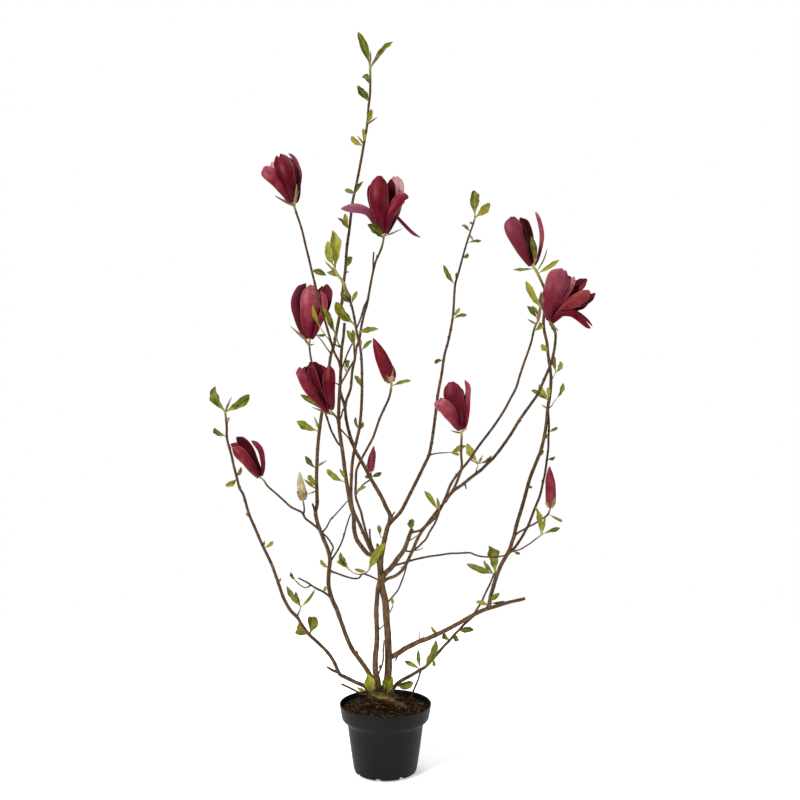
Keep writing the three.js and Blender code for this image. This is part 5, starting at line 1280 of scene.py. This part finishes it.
def moved_to(piece, spots):
    piece.data.vertices.foreach_set("co", spots.ravel())
    piece.data.update()
    return piece


def laid(master, name, rib, half, face_angle, twist=0.0, shape=None):
    """A copy of the blade with its rib on the given line; shape may change its own points."""
    own = shape(own_points(master)) if shape else own_points(master)
    line, travelled = even(rib, RIB_STEP)
    tangents = unit(np.gradient(line, axis=0))
    share = travelled / travelled[-1]
    face, breadth = frames(tangents, face_angle + twist * (share - 0.5))
    t = np.clip(own[:, 1], 0, 1)
    spots = sum(between(t, share, source) * scale[:, None]
                for source, scale in ((line, np.ones(len(t))), (breadth, own[:, 0] * half),
                                      (face, own[:, 2] * half)))
    spots += (own[:, 1] - t)[:, None] * travelled[-1] * tangents[-1]
    return moved_to(copy_of(master, name), spots)


print("leaves to lay:", sum(map(len, LEAVES.values())) + sum(map(len, SPIKES.values())))

# %% [markdown]
# Each leaf differs a little: successive ones are turned by the golden angle, as round a stem, which
# sets how far they reach and roll, and chance gives them their bend, fold, waves and twist.

# %% One leaf
GOLDEN_ANGLE = 137.5
ROUND = 6.28                       # a full turn, near enough for a wave
RIB_POINTS = 12
USUAL_REACH, MOST_ROLL = 0.45, 28
# leaves that are plainly lighter (1) or darker (0) than the rest, by their tip
LIT_LEAVES = {
    (368, 674): 1.0, (392.5, 677): 0.35, (332.5, 230.3): 0.95, (328, 241): 0.85, (385.5, 543): 0.7,
    (298.5, 623.5): 0.2, (313, 617): 0.35, (389, 697.5): 0.45, (413.5, 682.5): 0.4, (358, 32): 0.3,
    (393, 41.7): 0.35, (215.3, 386): 0.25, (249.3, 394.5): 0.5, (296.8, 421.3): 0.45,
    (474.5, 190.5): 0.3, (488.3, 546): 0.45, (335.7, 302): 0.4, (322.5, 307.5): 0.6,
    (313, 304.7): 0.7, (424, 491): 0.7, (378.5, 329): 0.4,
}


def leaf_piece(entry, index, master, tan):
    limb, root_u, root_v, tip_u, tip_v, width, *reach = entry
    root = nearest(ROUTES[limb], root_u, root_v)
    length = math.hypot(tip_u - root[0], tip_v - root[1]) * UNIT
    turn = math.radians(index * GOLDEN_ANGLE)
    reach = reach[0] if reach else USUAL_REACH * length / MM * math.sin(turn)
    start, end = np.array(place(*root)), np.array(place(tip_u, tip_v, root[2] + reach))
    roll = MOST_ROLL * math.cos(turn)
    half = width * UNIT / math.cos(math.radians(roll)) / 2
    face, _ = frames(unit(end - start)[None, :], np.array([roll]))
    steps = np.linspace(0, 1, RIB_POINTS)[:, None]
    bend = chance(0.04, 0.18) * length
    rib = start + (end - start) * steps + face * bend * np.sin(math.pi * steps)
    phase, beats = chance(0, ROUND), chance(2.2, 3.8)
    wave, fold = chance(0.1, 0.32), chance(0.6, 2.0)

    def shape(own):
        edge, up = np.abs(own[:, 0]), own[:, 1]
        own[:, 2] *= fold
        own[:, 2] += wave * edge ** 2 * np.sin(phase + beats * ROUND * up + 1.5 * np.sign(own[:, 0]))
        own[:, 0] *= 1 + 0.09 * np.sin(phase * 2 + 13 * up) + 0.025 * np.sin(phase * 3 + 37 * up)
        return own

    piece = laid(master, "leaf_on_" + limb, rib, half, roll, chance(-75, 75), shape)
    tell(piece, tan=tan, shade=LIT_LEAVES.get((tip_u, tip_v), chance()))
    return piece


print("leaves with a shade of their own:", len(LIT_LEAVES))

# %% [markdown]
# The leaf paint reads the blade's own UV: u across and v along. The rib and the side veins are
# light lines, the blade between them is olive with darker and yellower patches, the stalk end pales
# to yellow-green, and the numbers on each leaf make it darker, lighter, or a dry tan bract.

# %% Leaf material
def across_and_along(tree):
    """The blade's own UV map, how far a point is from the rib, and how far along."""
    uv = node(tree, "UVMap", {}, uv_map="UVMap")
    u_socket = node(tree, "SeparateXYZ", {"Vector": uv})
    off_rib = unsigned(minus(u_socket, 0.5))
    return uv, off_rib, u_socket.node.outputs["Y"]


leaf_paint, tree, surface = shader("young_leaf")
_, off_rib, up_blade = across_and_along(tree)
rib_line = ramp(off_rib, (0.0, 1), (0.035, 0.8), (0.075, 0))
slant = minus(times(up_blade, 8), times(off_rib, 5))
vein_wave = unsigned(minus(fraction(slant), 0.5))
vein_line = ramp(vein_wave, (0.0, 1), (0.09, 0.2), (0.18, 0))
blotch = grains(room(tree), 75, 5, Roughness=0.5)
mottle = grains(room(tree), 1100, 2)
greenness = plus(times(blotch, 0.7), times(told(tree, "shade"), 0.46))
veined = ramp(greenness, (0.3, (0.04, 0.048, 0.002)), (0.54, (0.165, 0.165, 0.009)),
              (0.82, (0.36, 0.33, 0.03)))
veined = mix(ramp(mottle, (0.35, 0.07), (0.6, 0)), veined, (0.08, 0.09, 0.008))
veined = mix(times(vein_line, 0.13), veined, (0.32, 0.32, 0.06))
veined = mix(times(rib_line, 0.6), veined, (0.4, 0.39, 0.1))
veined = mix(ramp(up_blade, (0.06, 0.8), (0.3, 0)), veined, (0.42, 0.44, 0.12))
veined = mix(ramp(off_rib, (0.46, 0), (0.5, 0.3)), veined, (0.26, 0.18, 0.06))
dry = ramp(blotch, (0.3, (0.15, 0.075, 0.038)), (0.52, (0.34, 0.2, 0.11)), (0.75, (0.55, 0.4, 0.25)))
relief = minus(times(mottle, 0.2), plus(times(vein_line, 0.5), rib_line))
feed(tree, surface, {
    "Base Color": mix(told(tree, "tan"), veined, dry),
    "Roughness": ramp(blotch, (0.3, 0.36), (0.7, 0.52)), "Specular IOR Level": 0.2,
    "Subsurface Weight": 0.12, "Subsurface Radius": (0.6 * MM, 0.9 * MM, 0.2 * MM),
    "Normal": bump(relief, 0.5, 0.5)})
print("leaf nodes:", len(tree.nodes))

# %% Leaves of every stem node
BLADE_THICKNESS = 0.45 * MM
BRACT_WIDTH = 2.7                  # narrower ones are dry bracts and spikes
DRY_TIPS = {(541.3, 291.5), (289.7, 325.6), (274.4, 195.5), (529, 486), (360, 409), (551.5, 323)}
SPIKE_TURN = 50                    # spikes take their turns from further along the golden angle


def solidified(piece, thickness, **settings):
    pick(piece)
    shell = piece.modifiers.new("thickness", "SOLIDIFY")
    shell.thickness = thickness
    shell.offset = 0.0
    for key, value in settings.items():
        setattr(shell, key, value)
    bpy.ops.object.modifier_apply(modifier=shell.name)
    smoothed(piece, 50)


for node_name, word in STEM_WORDS.items():
    made = []
    for index, entry in enumerate(LEAVES[node_name]):
        narrow = entry[5] < BRACT_WIDTH or entry[3:5] in DRY_TIPS
        tan = chance(0.5, 1) if narrow else 0.0
        made.append(leaf_piece(entry, index, bract_master if narrow else leaf_master, tan))
    for index, entry in enumerate(SPIKES[node_name]):
        made.append(leaf_piece(entry, index + SPIKE_TURN, bract_master, chance(0.4, 1)))
    leaves = joined(word + "_leaves", made, [leaf_paint], node_name)
    solidified(leaves, BLADE_THICKNESS)
    print(leaves.name, len(leaves.data.polygons), "faces")

# %% [markdown]
# ## Tepals and blooms
# A magnolia has no separate petals and sepals, only tepals: a narrow claw, a broad blade cupped
# like a spoon, and a round tip. One is modelled from a grid like the leaf, but its tip rows are
# also pulled down at the sides to round it. Each bloom is a ring of copies, laid along their traced
# ribs, and every copy gets its own lean, wave and notch.

# %% The master tepal
TEPAL_GRID = (16, 28)
TEPAL_OUTLINE = [(0, 0.36), (0.08, 0.48), (0.2, 0.64), (0.35, 0.82), (0.5, 0.94), (0.65, 1), (0.77, 1),
                 (0.86, 0.96), (0.92, 0.88), (0.96, 0.76), (1, 0.42)]
CUP, CLAW_CUP = 0.46, 0.9          # the claw is bent further, round the foot of the bloom
TIP_ROUNDING, TIP_FROM, TIP_LENGTH = 0.05, 0.55, 0.45
tepal_master = blade("tepal", TEPAL_GRID, TEPAL_OUTLINE, lambda x: -CUP * x * x)
widths = {}
for vertex in tepal_master.data.vertices:
    key = round(vertex.co.y, 4)
    widths[key] = max(widths.get(key, 0), abs(vertex.co.x))
for vertex in tepal_master.data.vertices:
    across = vertex.co.x / max(1e-6, widths[round(vertex.co.y, 4)])
    vertex.co.y -= TIP_ROUNDING * across ** 2 * max(0, (vertex.co.y - TIP_FROM) / TIP_LENGTH)
print("tepal:", len(tepal_master.data.polygons), "faces")

# %% [markdown]
# The outside of a tepal is wine red with a rose bloom towards the tip, drawn out in fine veins that
# run up it from the claw; the inside is a deep maroon. The number "tone" slides each tepal between
# dark wine and pale pink. The number "mauve" cools it, as on the ones that have been open longest, or
# below nought warms it to a red brown.

# %% Tepal materials
VEIN_STRETCH = (34, 1.6, 1)
# the last of these is the pale margin colour, partly the tepal's own paler edge, partly a painted
# highlight
ROSE, COOL, WARM, RIM_AND_HIGHLIGHT = (0.24, 0.026, 0.05), (0.2, 0.07, 0.125), (0.36, 0.075, 0.05), (0.42, 0.14, 0.17)


def tepal_paint(name, claw_colour_and_shade, vein_colour, *stops):
    paint, tree, surface = shader(name)
    uv, off_rib, up_tepal = across_and_along(tree)
    drawn = node(tree, "Mapping", {"Vector": uv, "Scale": VEIN_STRETCH})
    fine = grains(drawn, 1.0, 5, Roughness=0.65, Distortion=0.25)
    cloud = grains(room(tree), 55, 4)
    drift = times(minus(cloud, 0.5), 0.5)
    lifted = times(minus(up_tepal, 0.5), 0.34)
    level = plus(plus(told(tree, "tone"), drift), lifted)
    mauve = told(tree, "mauve")
    warmth = times(mauve, -0.6)
    body = ramp(level, *stops)
    body = mix(ramp(fine, (0.42, 0), (0.62, 0.5)), body, vein_colour, "MULTIPLY")
    body = mix(ramp(fine, (0.3, 0.2), (0.46, 0)), body, ROSE)
    body = mix(times(mauve, up_tepal), body, COOL)
    body = mix(times(warmth, up_tepal), body, WARM)
    # the claw darkens towards the foot: partly the tepal's own darker base, partly painted shade deep in
    # the cup
    body = mix(ramp(up_tepal, (0.02, 0.75), (0.4, 0)), body, claw_colour_and_shade)
    # a pale line along the margin: partly the tepal's own paler edge, partly a painted highlight
    body = mix(ramp(off_rib, (0.45, 0), (0.49, 0.5)), body, RIM_AND_HIGHLIGHT)
    relief = plus(fine, times(cloud, 0.5))
    feed(tree, surface, {
        "Base Color": body, "Roughness": 0.42, "Specular IOR Level": 0.24,
        "Specular Tint": (1, 0.5, 0.52, 1), "Subsurface Weight": 0.12,
        "Subsurface Radius": (1.6 * MM, 0.3 * MM, 0.3 * MM), "Normal": bump(relief, 0.4, 0.6)})
    return paint


outer_paint = tepal_paint("tepal_outside", (0.09, 0.001, 0.014), (0.6, 0.3, 0.36),
                          (0.05, (0.035, 0.0005, 0.002)), (0.35, (0.1, 0.0015, 0.008)),
                          (0.6, (0.2, 0.011, 0.023)), (0.8, (0.35, 0.068, 0.09)),
                          (1.0, (0.6, 0.29, 0.31)))
inner_paint = tepal_paint("tepal_inside", (0.04, 0.001, 0.005), (0.62, 0.42, 0.45),
                          (0.05, (0.025, 0.0005, 0.002)), (0.35, (0.08, 0.0015, 0.008)),
                          (0.6, (0.17, 0.01, 0.025)), (0.8, (0.4, 0.13, 0.17)),
                          (1.0, (0.72, 0.42, 0.44)))
stalk_paint, tree, surface = shader("fresh_stalk")
blotch = grains(room(tree), 260, 5)
feed(tree, surface, {
    "Base Color": ramp(blotch, (0.3, (0.2, 0.21, 0.05)), (0.55, (0.42, 0.42, 0.12)),
                       (0.75, (0.5, 0.38, 0.2))),
    "Roughness": 0.55, "Normal": bump(blotch, 0.4, 0.3)})
print("paints:", outer_paint.name, inner_paint.name, stalk_paint.name)

# %% [markdown]
# Each bloom lists how its tepals differ: the tone outside, the tone inside, how deep the notch in
# the tip is, how mauve it is, and how much broader it grows towards the tip. What a row leaves out
# is nought, and a tepal without a row is a middling wine with a dark inside. The tones hold painted
# light as well as colour: tepals in the light have lighter tones, and tepals in shade darker ones.

# %% How the tepals differ
# the tones are colour with painted light: tepals in the light have lighter tones, tepals in shade darker
# ones
USUAL = (0.42, 0.25)
TONES = {                          # bloom: {tepal: (outside, inside, notch, mauve, broader)}
    "bloom_1": {0: (0.6, 0.3, 0.02, 0.1, 0.4), 1: (0.32, 0.12, 0.09, 0, 0.1), 2: (0.7, 0.92),
                4: (0.5, 0.2, 0.02, 0.6)},
    "bloom_2": {0: (0.66, 0.4, 0, 0.8), 1: (0.42, 0.15, 0.02), 2: (0.6, 0.93, 0.03), 3: (0.6, 0.22),
                4: (0.5, 0.85, 0.02), 5: (0.45, 0.4, 0, 0.2)},
    "bloom_3": {0: (0.44, 0.25, 0, 0.4, 0.2), 1: (0.68, 0.15, 0.03), 2: (0.58, 0.4),
                3: (0.42, 0.34, 0, 0.3, 0.25)},
    "bloom_4": {0: (0.56, 0.3, 0, 0.1), 1: (0.34, 0.2, 0.02), 2: (0.36, 0.12), 3: (0.52, 0.4)},
    "bloom_6": {0: (0.5, 0.3, 0, 0.1), 1: (0.4, 0.3), 2: (0.38, 0.2), 3: (0.46, 0.2, 0, 0.2)},
    "bloom_7": {0: (0.7, 0.4, 0, 0.15, 0.1), 1: (0.36, 0.2, 0.03, 0.1), 3: (0.66, 0.6, 0, 0.1, -0.2)},
    "bloom_8": {0: (0.52, 0.2, 0.02, 0.35, 0.3), 1: (0.16, 0.05), 2: (0.72, 0.6, 0.03, 0.1, -0.2)},
    "bloom_9": {0: (0.62, 0.2, 0.04, 0.25, 0.15), 1: (0.2, 0.3), 2: (0.7, 0.3, 0.02, 0.1),
                3: (0.54, 0.3, 0.02, -0.6, 0.15), 4: (0.4, 0.25, 0, -0.4), 5: (0.4, 0.25, 0.2)},
}
LEAF_AMONG = ("bloom_8", 4)        # this one is a leaf that grows out of the bloom's foot
print("tepals with tones of their own:", sum(map(len, TONES.values())))

# %% One tepal
RECEPTACLE = 5 * MM
FOOT_SPREAD, BELLY = 0.7, 0.85     # how far out a rib starts and swells, in receptacle radii
CLAW_LENGTH = 0.45
CURL_FROM, CURL_LENGTH = 0.7, 0.3
NOTCH_WIDTH, NOTCH_FROM, NOTCH_LENGTH = 0.16, 0.75, 0.25
OUTSIDE, INSIDE, STALK, LEAF = range(4)
BLOOM_PAINTS = [outer_paint, inner_paint, stalk_paint, leaf_paint]


def dressed(piece, paint_index):
    painted(piece, BLOOM_PAINTS)
    for face in piece.data.polygons:
        face.material_index = paint_index


def tepal_piece(limb, axis, entry, tones, leaf):
    points, width, face_angle = entry
    root = ROUTES[limb]["seen"][-1]
    foot = place(*root)
    route = [place(p[0], p[1], root[2] + p[2] * UNIT / MM) for p in points]
    aside = route[0] - foot
    aside = (aside - axis * aside.dot(axis)).normalized() * RECEPTACLE
    route = [foot + aside * FOOT_SPREAD, foot.lerp(route[0], 0.3) + aside * BELLY, *route]
    phase, lean = chance(0, ROUND), chance(-0.1, 0.1)
    wave, curl = chance(0.04, 0.1), chance(-0.12, 0.1)
    outside, _, notch, mauve, broader = tones

    def shape(own):
        edge = np.clip(np.abs(own[:, 0]), 0, 1)
        up = own[:, 1]
        own[:, 2] *= 1 + (CLAW_CUP / CUP - 1) * np.clip(1 - up / CLAW_LENGTH, 0, 1)
        own[:, 2] += wave * edge ** 3 * np.sin(phase + 9.5 * up + 2 * np.sign(own[:, 0]))
        own[:, 2] += curl * np.clip((up - CURL_FROM) / CURL_LENGTH, 0, 1) ** 2 * (1 + edge)
        own[:, 0] += lean * np.sin(math.pi * np.clip(up, 0, 1)) * (1 - edge ** 2)
        own[:, 0] *= 1 + 0.04 * np.sin(phase + 11 * up) + broader * (np.clip(up, 0, 1) ** 2 - 0.4)
        near_tip = np.clip((up - NOTCH_FROM) / NOTCH_LENGTH, 0, 1)
        own[:, 1] -= notch * np.exp(-(own[:, 0] / NOTCH_WIDTH) ** 2) * near_tip
        return own

    piece = laid(leaf_master if leaf else tepal_master, "tepal", spline(route), width * UNIT / 2,
                 face_angle, chance(-12, 12), None if leaf else shape)
    tell(piece, tone=outside, mauve=mauve, shade=0.15, tan=0)
    dressed(piece, LEAF if leaf else OUTSIDE)
    return piece


print("paints of a bloom:", ", ".join(paint.name for paint in BLOOM_PAINTS))

# %% [markdown]
# A tepal gets its thickness by Solidify, which can give the inner wall the next material. The inner
# wall's vertices are then told their own tone. All tepals sit on a small green ball, where the
# stalk ends.

# %% Blooms
TEPAL_THICKNESS = 0.7 * MM
BALL_SIZE, BALL_FORM = 0.8 * RECEPTACLE, (0.85, 0.85, 1.2, 1)


def thick_tepal(piece, inside):
    solidified(piece, TEPAL_THICKNESS, material_offset=INSIDE)
    held = piece.data.attributes["tone"].data
    for face in piece.data.polygons:
        if face.material_index == INSIDE:
            for i in face.vertices:
                held[i].value = inside


def receptacle_piece(limb):
    ball = added("receptacle", bpy.ops.mesh.primitive_uv_sphere_add, segments=20, ring_count=12,
                 radius=BALL_SIZE)
    line = ROUTES[limb]["line"]
    ahead = Vector(line[-1] - line[-4]).normalized()
    ball.data.transform(Matrix.Translation(line[-1]) @ upright_to(ahead)
                        @ Matrix.Diagonal(BALL_FORM))
    tell(ball, tone=0.4, mauve=0, shade=0.5, tan=0)
    dressed(ball, STALK)
    smoothed(ball)
    return ball


for name, (limb, tepals) in BLOOMS.items():
    made = []
    foot = ROUTES[limb]["seen"][-1]
    tips = [place(*points[-1][:2], foot[2]) for points, *rest in tepals]
    axis = (sum(tips, Vector()) / len(tips) - place(*foot)).normalized()
    for index, entry in enumerate(tepals):
        leaf = (name, index) == LEAF_AMONG
        tones = (*TONES[name].get(index, USUAL), 0, 0, 0)[:5]
        piece = tepal_piece(limb, axis, entry, tones, leaf)
        if leaf:
            solidified(piece, TEPAL_THICKNESS)
        else:
            thick_tepal(piece, tones[1])
        made.append(piece)
    bloom = joined(name + "_tepals", [*made, receptacle_piece(limb)], None, name)
    print(bloom.name, len(bloom.data.polygons), "faces")

# %% [markdown]
# ## Closed buds
# In a closed bud the tepals wrap round each other, and the edge of each shows as a line that winds
# upwards. The bud is drawn up ring by ring, then every ring is moved on to the traced axis, and
# the skin is stepped in at each edge. The furry one has the same form under a coat of fine hairs.

# %% The master bud
BUD_SIDES, BUD_RINGS = 60, 44
bud_master = added("closed_bud", bpy.ops.mesh.primitive_circle_add, vertices=BUD_SIDES, radius=1,
                   fill_type="NGON")
edit()
for ring in range(BUD_RINGS):
    grow_ring(1 / BUD_RINGS, 1, (ring + 1) / BUD_RINGS)
close_edit()
print("closed bud:", len(bud_master.data.polygons), "faces")

# %% A bud's skin
WRAPS, WRAP_STEP, WRAP_TWIST = 3, 0.13, 0.9
BUD_STEP = 0.8 * MM


def bud_frame(limb, points, radii):
    root = ROUTES[limb]["seen"][-1]
    route = [place(*root)] + [place(p[0], p[1], root[2] + p[2]) for p in points]
    line, travelled = even(spline(route), BUD_STEP)
    face, breadth = frames(unit(np.gradient(line, axis=0)), np.zeros(len(line)))
    smooth = spline([(i / (len(radii) - 1), r, 0) for i, r in enumerate(radii)], 8)
    steps, widths, _ = np.array([tuple(p) for p in smooth]).T
    return line, travelled / travelled[-1], face, breadth, steps, widths * UNIT


BUD_FRAMES = {name: bud_frame(*entry) for name, entry in BUDS.items()}


def on_bud(name, t, angle, wrapped=True, lift=0.0):
    """A point of a bud's skin, the way out of it, and how far round its wrap it lies."""
    line, share, face, breadth, steps, widths = BUD_FRAMES[name]
    t = np.clip(t, 0, 1)
    wrap = (WRAPS * (angle + WRAP_TWIST * t) / (2 * math.pi)) % 1
    radius = np.interp(t, steps, widths) * (1 - (WRAP_STEP * wrap if wrapped else 0)) + lift
    centre, out_y, out_x = (between(t, share, rows) for rows in (line, face, breadth))
    outwards = out_x * np.cos(angle)[..., None] + out_y * np.sin(angle)[..., None]
    return centre + outwards * radius[..., None], outwards, wrap


print("greatest width of each bud in mm:",
      {name: round(2 * float(held[-1].max()) / MM, 1) for name, held in BUD_FRAMES.items()})

# %% Furry coat
HAIRS, HAIR_LENGTH, HAIR_RADIUS = 450, 1.4 * MM, 0.05 * MM
bud_coat, tree, surface = shader("furry_coat")
fuzz = grains(room(tree), 700, 4, Roughness=0.7)
cloud = grains(room(tree), 90, 3)
both = plus(times(fuzz, 0.5), times(cloud, 0.5))
feed(tree, surface, {
    "Base Color": ramp(both, (0.35, (0.36, 0.31, 0.12)), (0.5, (0.54, 0.47, 0.22)),
                       (0.65, (0.66, 0.58, 0.33))),
    "Roughness": 0.8, "Sheen Weight": 0.5, "Sheen Roughness": 0.5,
    "Normal": bump(fuzz, 0.35, 0.5)})


def hairs_on(name):
    hair = settled(added("hair", bpy.ops.mesh.primitive_cone_add, vertices=3, radius1=HAIR_RADIUS,
                         depth=HAIR_LENGTH, end_fill_type="NGON", location=(0, 0, HAIR_LENGTH / 2)))
    matrices = []
    for step in range(HAIRS):
        t, angle = np.array(chance(0.03, 0.97)), np.array(chance(0, 2 * math.pi))
        spot, outwards, _ = on_bud(name, t, angle)
        tip = Vector(outwards) * 0.5 + Vector((0, 0, 1)) + Vector(RANDOM.uniform(-0.2, 0.2, 3))
        matrices.append(Matrix.Translation(Vector(spot)) @ upright_to(tip))
    coat = scattered(hair, "hairs", matrices)
    bpy.data.objects.remove(hair)
    joined(name + "_hairs", [coat], [bud_coat], name)


print("hairs:", HAIRS, "of", round(HAIR_LENGTH / MM, 1), "mm")

# %% Bud bodies
FURRY = "bud_12"
BUD_TONES = {"bloom_5": 0.36, "bud_10": 0.54, "bud_11": 0.62, "bud_12": 0.5}
# the pale rim holds a painted highlight and the dark claw painted shade; the buds' UV stays clear of both
U_FROM, U_SPAN, V_FROM, V_SPAN = 0.04, 0.92, 0.15, 0.8     # clear of the rim's and claw's colours
own = own_points(bud_master)
turn = np.arctan2(own[:, 1], own[:, 0]) % (2 * math.pi)
for name, tone in BUD_TONES.items():
    spots, _, wrap = on_bud(name, own[:, 2], turn)
    body = moved_to(copy_of(bud_master, name + "_skin"), spots)
    uv = body.data.uv_layers.new(name="UVMap")
    for corner, loop in zip(uv.data, body.data.loops):
        i = loop.vertex_index
        corner.uv = (U_FROM + U_SPAN * float(wrap[i]), V_FROM + V_SPAN * float(own[i, 2]))
    tell(body, tone=tone)
    paint, slot = (bud_coat, "furry_bud") if name == FURRY else (outer_paint, "tepal")
    if name == FURRY:
        hairs_on(name)
    piece = joined(name + "_skin", [body], [paint], name)
    smoothed(piece, 40)
    print(piece.name, len(piece.data.polygons), "faces")

# %% [markdown]
# Brown scales hug the foot of each closed bud, what is left of the winter coat that it burst. Each
# is the bract again, but this time it is wrapped on the bud's skin: the place across it becomes a
# place round the bud, and the place along it a place up the bud.

# %% Bud scales
SCALES = {                         # bud: its scales, each with angle in degrees, height, width and tan
    "bud_12": [(20, 0.28, 1.0, 1.0), (150, 0.36, 1.0, 0.9), (265, 0.26, 1.1, 1.0), (90, 0.3, 0.8, 0.8)],
    "bud_11": [(-25, 0.85, 0.6, 0.9), (170, 0.3, 0.8, 0.5)],
    "bud_10": [(60, 0.26, 0.5, 0.9), (150, 0.16, 0.6, 0.8), (-110, 0.3, 0.4, 0.9)],
    "bloom_5": [(75, 0.13, 0.7, 0.9), (165, 0.1, 0.6, 0.3), (-20, 0.3, 0.35, 0.5)],
}
SCALE_LIFT, SCALE_FLARE = 0.4 * MM, 0.7 * MM
own = own_points(bract_master)
for name, scales in SCALES.items():
    made = []
    for degrees, tall, wide, tan in scales:
        spots, _, _ = on_bud(name, own[:, 1] * tall, math.radians(degrees) + own[:, 0] * wide, False,
                             SCALE_LIFT + SCALE_FLARE * own[:, 1])
        scale = moved_to(copy_of(bract_master, "bud_scale"), spots)
        tell(scale, tan=tan, shade=0.5)
        made.append(scale)
    scales_piece = joined(name + "_scales", made, [leaf_paint], name)
    solidified(scales_piece, BLADE_THICKNESS)
    print(scales_piece.name, len(scales_piece.data.polygons), "faces")
for master in (bud_master, leaf_master, bract_master, tepal_master):
    bpy.data.objects.remove(master)
